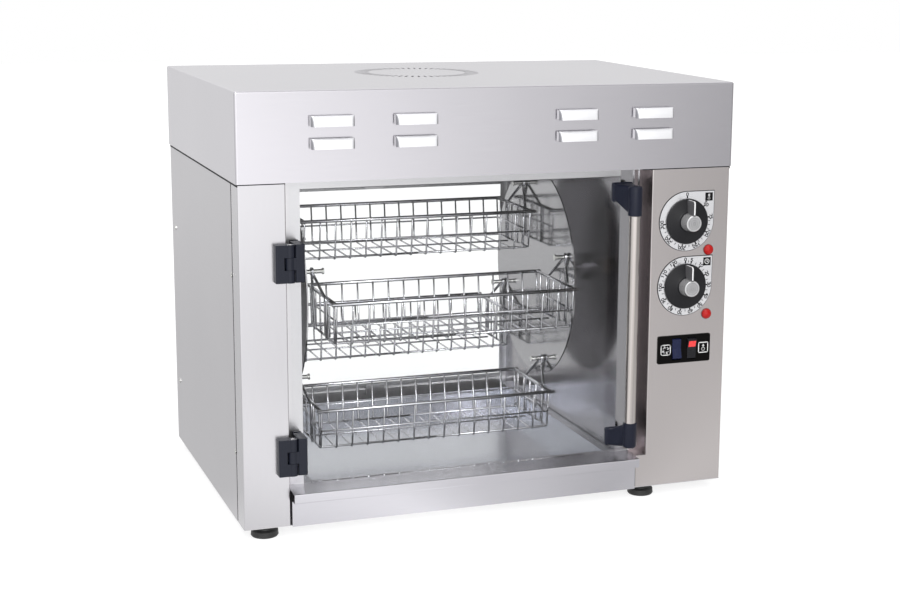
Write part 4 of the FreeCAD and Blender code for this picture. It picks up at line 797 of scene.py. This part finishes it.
def turning_arrows(centre):
    """Four curved arrows in a rounded frame."""
    lines = [rounded_square(centre, SIGN_HALF, 2.6)]
    for start in (25, 115, 205, 295):
        sweep = arc(centre, 4.4, start, start + 52, 6)
        lines.append(sweep)
        barbs = [on_dial(centre, radius, start + 38) for radius in (6.0, 2.8)]
        lines.append([barbs[0], sweep[-1], barbs[1]])
    return lines


def lamp_drawing(centre):
    """A lamp on a stem in a square frame."""
    x, z = centre
    return [
        rounded_square(centre, SIGN_HALF, 0.6),
        arc((x, z - 2.3), 2.3, 0, 360, 16),
        [(x, z + 0.6), (x, z + 4.6)],
        [(x - 1.5, z + 2.6), (x + 1.5, z + 2.6)],
    ]


SIGNS = {"rotation_sign": turning_arrows(LEFT_SIGN), "lamp_sign": lamp_drawing(RIGHT_SIGN)}
for sign_name, lines in SIGNS.items():
    printed(sign_name, lines, SIGN_STROKE, SWITCH_FACE, "white_ink", "case", "dial_plate")

# Rocker faces: a red lens on the lamp switch and a raised field on the other

ROCKER_PITCH = 23.5
ROCKER_TILT = 7.0
ROCKER_PIVOT_Y = BODY_FRONT + 6.0
ROCKER_CENTRE_DEPTH = 8.0


def rocker_patch(name, way, tilt, low, high, half_width, proud, material, body, slot):
    """Thin plate on the upper or lower face of a rocker, from a low to a high reach along it."""
    middle = SWITCH_X + way * ROCKER_PITCH / 2
    lean = math.radians(ROCKER_TILT)
    turn = Matrix.Rotation(tilt * lean, 4, "X")
    rings = []
    for lift in (0.0, proud * 0.6, proud):
        inset = 0.5 if lift == proud else 0.0
        ring = []
        for x, reach in ((-half_width + inset, low + inset), (half_width - inset, low + inset),
                         (half_width - inset, high - inset), (-half_width + inset, high - inset)):
            depth = ROCKER_CENTRE_DEPTH + abs(reach) * math.tan(lean) + lift
            spot = turn @ Vector((x, -depth, reach))
            ring.append((middle + spot.x, ROCKER_PIVOT_Y + spot.y, SWITCH_Z + spot.z))
        rings.append(ring)
    mesh_object(name, *between_rings(rings), material, body, slot)


rocker_patch("lamp_lens", 1, 1, 3.5, 12.2, 5.4, 0.35, "lens_red", "lamp_switch", "lamp_red")
rocker_patch("rotation_lens", -1, -1, -10.5, 0.0, 3.0, 0.3, "rocker_blue", "rotation_switch", "rocker_blue")

# Pilot lamps: a thin ring round each lens, in a darker copy of the lens red as painted shade at the lens rim

LAMP_X, LAMP_DROP = 318.5, 42.0
RIM_SHADE_PROFILE = [(7.3, 0.0), (7.6, 0.0), (7.6, 0.9), (7.4, 1.3), (7.3, 1.3), (7.3, 0.0)]

rim_shades = joined([
    lathe_out((LAMP_X, BODY_FRONT, height - LAMP_DROP), RIM_SHADE_PROFILE, 40, closed_ends=False)
    for height in DIAL_HEIGHTS.values()])
smooth_object("pilot_lamp_rim_shades", *rim_shades, "lamp_rim", "case", "lamp_red")

# Knobs: a skirt, an upright blade with a white line, and a long turned metal cap

CAP_REACH = 25.0
BLADE_TOP = 30.6
BLADE_HALF = 1.7
LINE_HALF = 0.8
LINE_LIFT = 0.14
GROOVE_DEPTH = 0.6
GROOVE_RADII = (8.7, 5.7, 2.8)
GROOVE_STROKE = 0.7

# Profiles as (radius, distance out), and the blade's side view as (distance out, height)

SKIRT_PROFILE = [
    (3.1, 1.6), (31.6, 1.6), (32.0, 2.0), (32.0, 3.4), (31.5, 4.4), (30.4, 4.9), (15.5, 6.4), (14.0, 7.2),
    (13.4, 8.4), (3.1, 8.4)]
CAP_PROFILE = [(0.0, 8.0), (12.3, 8.0), (12.5, 8.6), (12.2, 9.6), (11.2, 24.2), (10.5, CAP_REACH)]
BLADE_OUTLINE = [
    (4.4, 11.0), (4.4, BLADE_TOP), (22.4, BLADE_TOP), (24.2, 29.8), (25.0, 27.8), (25.0, 10.0), (12.0, 10.0)]
POINTER_LINE = [(6.0, BLADE_TOP), (22.4, BLADE_TOP), (24.2, 29.8), (25.0, 27.8), (25.0, 12.0)]
LINE_BEND = 27.8


def pointer_strip(height):
    """Raised line along the blade's top and down its front."""
    rings = []
    for out, z in POINTER_LINE:
        y = BODY_FRONT - out
        z_share = min(1.0, max(0.0, (z - LINE_BEND) / (BLADE_TOP - LINE_BEND)))
        raised_y = y - LINE_LIFT * (1 - z_share)
        raised_z = height + z + LINE_LIFT * z_share
        rings.append([
            (DIAL_X - LINE_HALF, y, height + z), (DIAL_X + LINE_HALF, y, height + z),
            (DIAL_X + LINE_HALF, raised_y, raised_z), (DIAL_X - LINE_HALF, raised_y, raised_z)])
    return between_rings(rings)


def cap_profile():
    """Turned cap with rings cut in its end."""
    profile = list(CAP_PROFILE)
    low = CAP_REACH - GROOVE_DEPTH
    for radius in GROOVE_RADII:
        profile += [(radius, CAP_REACH), (radius - 0.2, low), (radius - 1.2, low), (radius - 1.4, CAP_REACH)]
    return profile + [(0.0, CAP_REACH)]


def knob(name, height):
    centre = (DIAL_X, BODY_FRONT, height)
    body = f"{name}_control"
    skirt = lathe_out(centre, SKIRT_PROFILE, 96)
    piece = smooth_object(f"{name}_skirt", *skirt, "knob_black", body, "dial_black")
    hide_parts(f"{name}_knob")
    outline = [(BODY_FRONT - out, height + z) for out, z in BLADE_OUTLINE]
    blade = between_rings([[(DIAL_X + side * BLADE_HALF, y, z) for y, z in outline] for side in (-1, 1)])
    mesh_object(f"{name}_blade", *blade, "knob_grey", body, "dial_black")
    mesh_object(f"{name}_pointer", *pointer_strip(height), "white_ink", body, "dial_plate")

    cap = lathe_out(centre, cap_profile())
    piece = smooth_object(f"{name}_cap", *cap, "knob_metal", body, "cap_metal")
    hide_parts(f"{name}_knob_cap")
    # grey rings printed over the grooves in the cap's end: painted shade in the grooves
    rings = [arc((DIAL_X, height), radius - 0.5, 0, 360, 24) for radius in GROOVE_RADII]
    cap_face = BODY_FRONT - CAP_REACH - MARK
    printed(f"{name}_cap_groove_shades", rings, GROOVE_STROKE, cap_face, "groove_shade_grey", body, "cap_metal")


for name, height in DIAL_HEIGHTS.items():
    knob(name, height)


# Handle: a round tube in two moulded elbows on the door glass

HANDLE_X, HANDLE_Y = 197.0, -238.25
GLASS_FRONT, GLASS_BACK = -204.25, -199.25
HANDLE_TUBE = 8.0
GRIP_Z = (101.0, 420.0)
SOCKET_RADIUS = 9.7

# Each elbow: middle x and z, width and height of its foot, root and nose; low and high end of its socket

UPPER_ELBOW = {"foot": (192.0, 438.0, 31.0, 27.0), "root": (192.5, 438.0, 28.0, 24.5),
               "nose": (197.0, 430.0, 19.0, 39.0), "socket": (409.0, 450.0)}
LOWER_ELBOW = {"foot": (189.0, 89.5, 31.0, 26.0), "root": (189.5, 89.5, 28.0, 23.5),
               "nose": (197.0, 97.5, 19.0, 34.0), "socket": (80.0, 116.0)}
ELBOW_CORNER = 3.0
NOSE_CORNER = 6.5
FOOT_PLATE = 5.0
SCREW_PROFILE = [(3.5, -2.4), (5.2, -2.2), (6.0, -1.4), (6.0, 0.0), (2.5, 0.0), (2.5, 5.0)]


def elbow(shape, closed_end):
    """Foot on the pane, an arm out to the tube, a socket over the tube's end and a screw behind."""
    x, z, width, height = shape["foot"]
    rings = [
        rounded_rectangle(x, GLASS_FRONT, z, width, height, ELBOW_CORNER),
        rounded_rectangle(x, GLASS_FRONT - 3.4, z, width, height, ELBOW_CORNER),
        rounded_rectangle(x, GLASS_FRONT - 4.4, z, width - 1.6, height - 1.6, ELBOW_CORNER),
    ]
    root = shape["root"]
    nose = shape["nose"]
    for share in (0.0, 0.25, 0.5, 0.75, 1.0):
        bend = share * share * (3 - 2 * share)
        x, z, width, height = (a + (b - a) * bend for a, b in zip(root, nose))
        y = GLASS_FRONT - FOOT_PLATE + (HANDLE_Y - GLASS_FRONT + FOOT_PLATE) * share
        corner = ELBOW_CORNER + (NOSE_CORNER - ELBOW_CORNER) * share
        rings.append(rounded_rectangle(x, y, z, width, height, corner))
    arm = between_rings(rings)

    low, high = shape["socket"]
    round_end = [(SOCKET_RADIUS, 3.2), (SOCKET_RADIUS - 0.5, 1.7), (SOCKET_RADIUS - 1.7, 0.5), (5.5, 0.0)]
    plain_end = [(SOCKET_RADIUS, 0.8), (SOCKET_RADIUS - 0.8, 0.0), (HANDLE_TUBE, 0.0)]
    bottom = round_end if closed_end < 0 else plain_end
    top = round_end if closed_end > 0 else plain_end
    profile = [(r, low + d) for r, d in reversed(bottom)] + [(r, high - d) for r, d in top]
    socket = lathe_up((HANDLE_X, HANDLE_Y), profile)

    x, z = shape["foot"][:2]
    screw = lathe_out((x, GLASS_BACK, z), SCREW_PROFILE, 32)
    return joined([arm, socket, screw])


elbows = joined([elbow(UPPER_ELBOW, 1), elbow(LOWER_ELBOW, -1)])
piece = smooth_object("handle_elbows", *elbows, "black_moulding", "door", "black_moulding")
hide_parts("handle_brackets")
grip = lathe_up((HANDLE_X, HANDLE_Y), [(HANDLE_TUBE, z) for z in GRIP_Z])
piece = smooth_object("handle_grip", *grip, "handle_steel", "door", "handle_steel")
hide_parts("handle_tube")


# Seams and painted shadow: dark lines where the sheets meet on the sides, and dark strips under the hood's
# edge that paint the shadow of its overhang

HOOD_LOW = 471.0
BASE_TOP = 17.0
BODY_HALF = 348.0
BODY_BACK = 247.7
SEAM_Y = -185.0
SEAM_HALF = 0.5
SEAM_PROUD = 0.3
SIDE_HOOD_SHADOW = 3.6
FRONT_HOOD_SHADOW = 1.6
FRONT_HOOD_SHADOW_SPANS = ((-BODY_HALF, -286.2), (213.6, BODY_HALF))


def seams_and_shadows():
    parts = []
    for side in (-1, 1):
        face = tuple(sorted((side * BODY_HALF, side * (BODY_HALF + SEAM_PROUD))))
        parts.append(slab(face, (SEAM_Y - SEAM_HALF, SEAM_Y + SEAM_HALF), (BASE_TOP, HOOD_LOW)))
        # dark strip under the hood's edge on each side: painted shadow
        parts.append(slab(face, (BODY_FRONT, BODY_BACK), (HOOD_LOW - SIDE_HOOD_SHADOW, HOOD_LOW)))
    # dark strips under the hood's front edge beside the door: painted shadow
    for x_range in FRONT_HOOD_SHADOW_SPANS:
        parts.append(slab(x_range, (BODY_FRONT - SEAM_PROUD, BODY_FRONT), (HOOD_LOW - FRONT_HOOD_SHADOW, HOOD_LOW)))
    mesh_object("seam_and_shadow_strips", *joined(parts), "seam_black", "case", "black_moulding")


seams_and_shadows()


# Louvres: bright pressed faces with rounded ends over the scoops of the hood, open underneath; the brightness
# is a painted highlight from a paler, less metallic copy of the hood steel, and the ends that turn sideways
# carry painted shade

HOOD_FRONT = -232.25
LOUVRE_X = (-225.5, -113.5, 113.5, 225.5)
LOUVRE_Z = (513.4, 542.1)
LOUVRE_HALF = 28.6
LOUVRE_FLAT = 23.2
LOUVRE_DEPTH = 6.5
LOUVRE_HEIGHT = 13.7
LOUVRE_SKIN = 0.35
LOUVRE_SWEEP = 78.5
END_STEPS = 6
CURVE_STEPS = 8


def louvre_face(x, z):
    """Curved skin of one louvre: fades into the hood at the top and stands out at its lower lip."""
    rings = []
    reach = LOUVRE_HALF - LOUVRE_FLAT
    ends = [LOUVRE_FLAT + reach * math.sin(math.pi / 2 * i / END_STEPS) for i in range(END_STEPS + 1)]
    bend = [math.radians(LOUVRE_SWEEP * i / CURVE_STEPS) for i in range(CURVE_STEPS + 1)]
    stations = [-end for end in reversed(ends)] + ends
    for along in stations:
        share = max(0.0, (abs(along) - LOUVRE_FLAT) / reach)
        depth = LOUVRE_DEPTH * math.sqrt(max(0.004, 1 - share * share))
        ring = []
        for skin in (0.0, LOUVRE_SKIN):
            side = [(-(depth - skin) * math.sin(a), (LOUVRE_HEIGHT - skin) * math.cos(a)) for a in bend]
            side.append((-(depth - skin) * 0.98, 0.0))
            ring += side if skin == 0.0 else list(reversed(side))
        rings.append([(x + along, HOOD_FRONT + out, z + up) for out, up in ring])
    return between_rings(rings)


louvres = joined([louvre_face(x, z) for x in LOUVRE_X for z in LOUVRE_Z])
smooth_object("louvre_faces", *louvres, "louvre_steel", "case", "case_steel")


# Slim rail over the door glass

RAIL_X = (-260.0, 195.0)
RAIL_Y = (-193.3, -173.3)
RAIL_Z = (457.0, 471.0)
RAIL_WALL = 1.2
RAIL_BEND = 0.4


def slim_rail():
    """Folded sheet: a front face and a flange that runs back from its foot."""
    y1, y2 = RAIL_Y
    z1, z2 = RAIL_Z
    fold = [
        (y2, z1), (y1 + 1.0, z1), (y1, z1 + 1.0), (y1, z2), (y1 + RAIL_WALL, z2),
        (y1 + RAIL_WALL, z1 + RAIL_WALL + RAIL_BEND), (y1 + RAIL_WALL + RAIL_BEND, z1 + RAIL_WALL),
        (y2, z1 + RAIL_WALL)]
    return between_rings([[(x, y, z) for y, z in fold] for x in RAIL_X])


piece = mesh_object("top_rail_sheet", *slim_rail(), "jamb_steel", "case", "inner_steel")
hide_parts("front_top_rail")


# Camera, from a fit to the case's edges in the photograph

CAMERA_PLACE = (-0.7980, -2.3612, 0.7693)
CAMERA_ANGLES = (-21.56, 11.42, 0.69)
CAMERA_LENS = 69.12
CAMERA_SHIFT = (-0.0864, -0.0066)


def place_camera():
    azimuth, elevation, roll = (math.radians(angle) for angle in CAMERA_ANGLES)
    back = Vector((
        math.sin(azimuth) * math.cos(elevation),
        -math.cos(azimuth) * math.cos(elevation),
        math.sin(elevation),
    ))
    across = Vector((0, 0, 1)).cross(back).normalized()
    up = back.cross(across)
    turn = Matrix((across, up, back)).transposed().to_quaternion()
    camera = bpy.data.objects.new("camera", bpy.data.cameras.new("camera"))
    camera.rotation_mode = "QUATERNION"
    camera.rotation_quaternion = turn @ Quaternion((0, 0, 1), roll)
    camera.location = CAMERA_PLACE
    camera.data.sensor_width = 36.0
    camera.data.lens = CAMERA_LENS
    camera.data.shift_x, camera.data.shift_y = CAMERA_SHIFT
    camera.data.clip_end = 60.0
    bpy.context.scene.collection.objects.link(camera)
    bpy.context.scene.camera = camera


place_camera()


# Floor, light and backdrop

# Brightness of the room by azimuth: 0 and 1 look towards -X, 0.25 towards the front, 0.5 towards +X.
# The first list is for the world and the far floor, the second for the floor close to the part.

ROOM_PEAK = 1.6
ROOM_STOPS = [
    (0.0, 0.70), (0.18, 1.50), (0.262, 1.58), (0.300, 1.00), (0.342, 0.40), (0.42, 0.40), (0.50, 0.48),
    (0.62, 0.76), (0.75, 0.86), (0.90, 0.76), (1.0, 0.78)]
NEAR_STOPS = [
    (0.0, 0.70), (0.12, 0.98), (0.20, 1.26), (0.26, 0.88), (0.30, 0.80), (0.346, 0.64), (0.38, 0.80),
    (0.46, 0.55), (0.62, 0.66), (0.78, 0.69), (1.0, 0.70)]
NEAR_REACH, FAR_REACH = 0.6, 3.6
FLOOR_SHADE = 0.34
FLOOR_GLOW = 0.74
FLOOR_HALF = 9
WHITE = (1.0, 1.0, 1.0, 1.0)
RISE_FROM, RISE_TO = 0.15, 0.9
OVERHEAD_GAIN = 1.5


def room_pattern(tree, direction, room_stops):
    """Soft studio brightness round the part, as a colour of at most 1."""
    turn = tree.nodes.new("ShaderNodeTexGradient")
    turn.gradient_type = "RADIAL"
    tree.links.new(direction, turn.inputs["Vector"])
    stops = [(place, (value / ROOM_PEAK,) * 3) for place, value in room_stops]
    return ramp(tree, turn.outputs["Fac"], stops)


def plain_floor():
    """Pale floor: near white with a faint shadow for the camera, and the room's brightness for the metal."""
    material, tree, shader = new_material("studio_floor")
    haze = stretched_noise(tree, 2.0, EVEN, 2.0)
    shades = [(0.3, (FLOOR_SHADE,) * 3), (0.7, (FLOOR_SHADE + 0.02,) * 3)]
    tree.links.new(ramp(tree, haze, shades), shader.inputs["Base Color"])
    shader.inputs["Roughness"].default_value = 0.95
    shader.inputs["Specular IOR Level"].default_value = 0.0
    shader.inputs["Emission Color"].default_value = WHITE
    shader.inputs["Emission Strength"].default_value = FLOOR_GLOW

    where = tree.nodes.new("ShaderNodeTexCoord")
    distance = tree.nodes.new("ShaderNodeVectorMath")
    distance.operation = "LENGTH"
    tree.links.new(where.outputs["Object"], distance.inputs[0])
    far = tree.nodes.new("ShaderNodeMapRange")
    far.interpolation_type = "SMOOTHSTEP"
    far.inputs["From Min"].default_value = NEAR_REACH
    far.inputs["From Max"].default_value = FAR_REACH
    tree.links.new(distance.outputs["Value"], far.inputs["Value"])
    blend = tree.nodes.new("ShaderNodeMix")
    blend.data_type = "RGBA"
    tree.links.new(room_pattern(tree, where.outputs["Object"], NEAR_STOPS), blend.inputs["A"])
    tree.links.new(far.outputs["Result"], blend.inputs["Factor"])
    tree.links.new(room_pattern(tree, where.outputs["Object"], ROOM_STOPS), blend.inputs["B"])
    room = tree.nodes.new("ShaderNodeEmission")
    room.inputs["Strength"].default_value = ROOM_PEAK
    tree.links.new(blend.outputs["Result"], room.inputs["Color"])

    path = tree.nodes.new("ShaderNodeLightPath")
    mix = tree.nodes.new("ShaderNodeMixShader")
    output = next(node for node in tree.nodes if node.type == "OUTPUT_MATERIAL")
    tree.links.new(path.outputs["Is Camera Ray"], mix.inputs[0])
    tree.links.new(room.outputs[0], mix.inputs[1])
    tree.links.new(shader.outputs[0], mix.inputs[2])
    tree.links.new(mix.outputs[0], output.inputs[0])

    mesh = bpy.data.meshes.new("studio_floor")
    corners = [(x * FLOOR_HALF, y * FLOOR_HALF, 0) for x, y in ((-1, -1), (1, -1), (1, 1), (-1, 1))]
    mesh.from_pydata(corners, [], [(0, 1, 2, 3)])
    mesh.materials.append(material)
    floor = bpy.data.objects.new("studio_floor", mesh)
    bpy.context.scene.collection.objects.link(floor)


plain_floor()


def area_light(name, position, target, size, power):
    data = bpy.data.lights.new(name, "AREA")
    data.shape = "RECTANGLE"
    data.size, data.size_y = size
    data.energy = power
    light = bpy.data.objects.new(name, data)
    light.location = position
    light.rotation_mode = "QUATERNION"
    light.rotation_quaternion = (Vector(target) - Vector(position)).to_track_quat("-Z", "Y")
    bpy.context.scene.collection.objects.link(light)


area_light("front_left", (-0.9, -3.6, 1.9), (0, 0, 0.3), (1.2, 1.2), 45)
area_light("back_soft", (-1.6, 3.4, 3.2), (0, 0, 0.3), (2.4, 1.6), 8)


def studio_world():
    """Room light by direction, brighter overhead; white where the camera sees it."""
    world = bpy.data.worlds.new("studio_world")
    bpy.context.scene.world = world
    world.use_nodes = True
    tree = world.node_tree
    tree.nodes.clear()
    output = tree.nodes.new("ShaderNodeOutputWorld")
    mix = tree.nodes.new("ShaderNodeMixShader")
    path = tree.nodes.new("ShaderNodeLightPath")
    room = tree.nodes.new("ShaderNodeBackground")
    seen = tree.nodes.new("ShaderNodeBackground")
    where = tree.nodes.new("ShaderNodeTexCoord")
    parts = tree.nodes.new("ShaderNodeSeparateXYZ")
    rise = tree.nodes.new("ShaderNodeMapRange")
    rise.inputs["From Min"].default_value = RISE_FROM
    rise.inputs["From Max"].default_value = RISE_TO
    rise.inputs["To Min"].default_value = ROOM_PEAK
    rise.inputs["To Max"].default_value = ROOM_PEAK * OVERHEAD_GAIN
    tree.links.new(where.outputs["Generated"], parts.inputs[0])
    tree.links.new(parts.outputs["Z"], rise.inputs["Value"])
    tree.links.new(room_pattern(tree, where.outputs["Generated"], ROOM_STOPS), room.inputs["Color"])
    tree.links.new(rise.outputs["Result"], room.inputs["Strength"])
    seen.inputs["Color"].default_value = WHITE
    seen.inputs["Strength"].default_value = 1.0
    tree.links.new(path.outputs["Is Camera Ray"], mix.inputs[0])
    tree.links.new(room.outputs[0], mix.inputs[1])
    tree.links.new(seen.outputs[0], mix.inputs[2])
    tree.links.new(mix.outputs[0], output.inputs[0])


studio_world()

scene = bpy.context.scene
scene.view_settings.view_transform = "Standard"
scene.view_settings.look = "None"
scene.view_settings.exposure = 0.0
scene.view_settings.gamma = 1.0
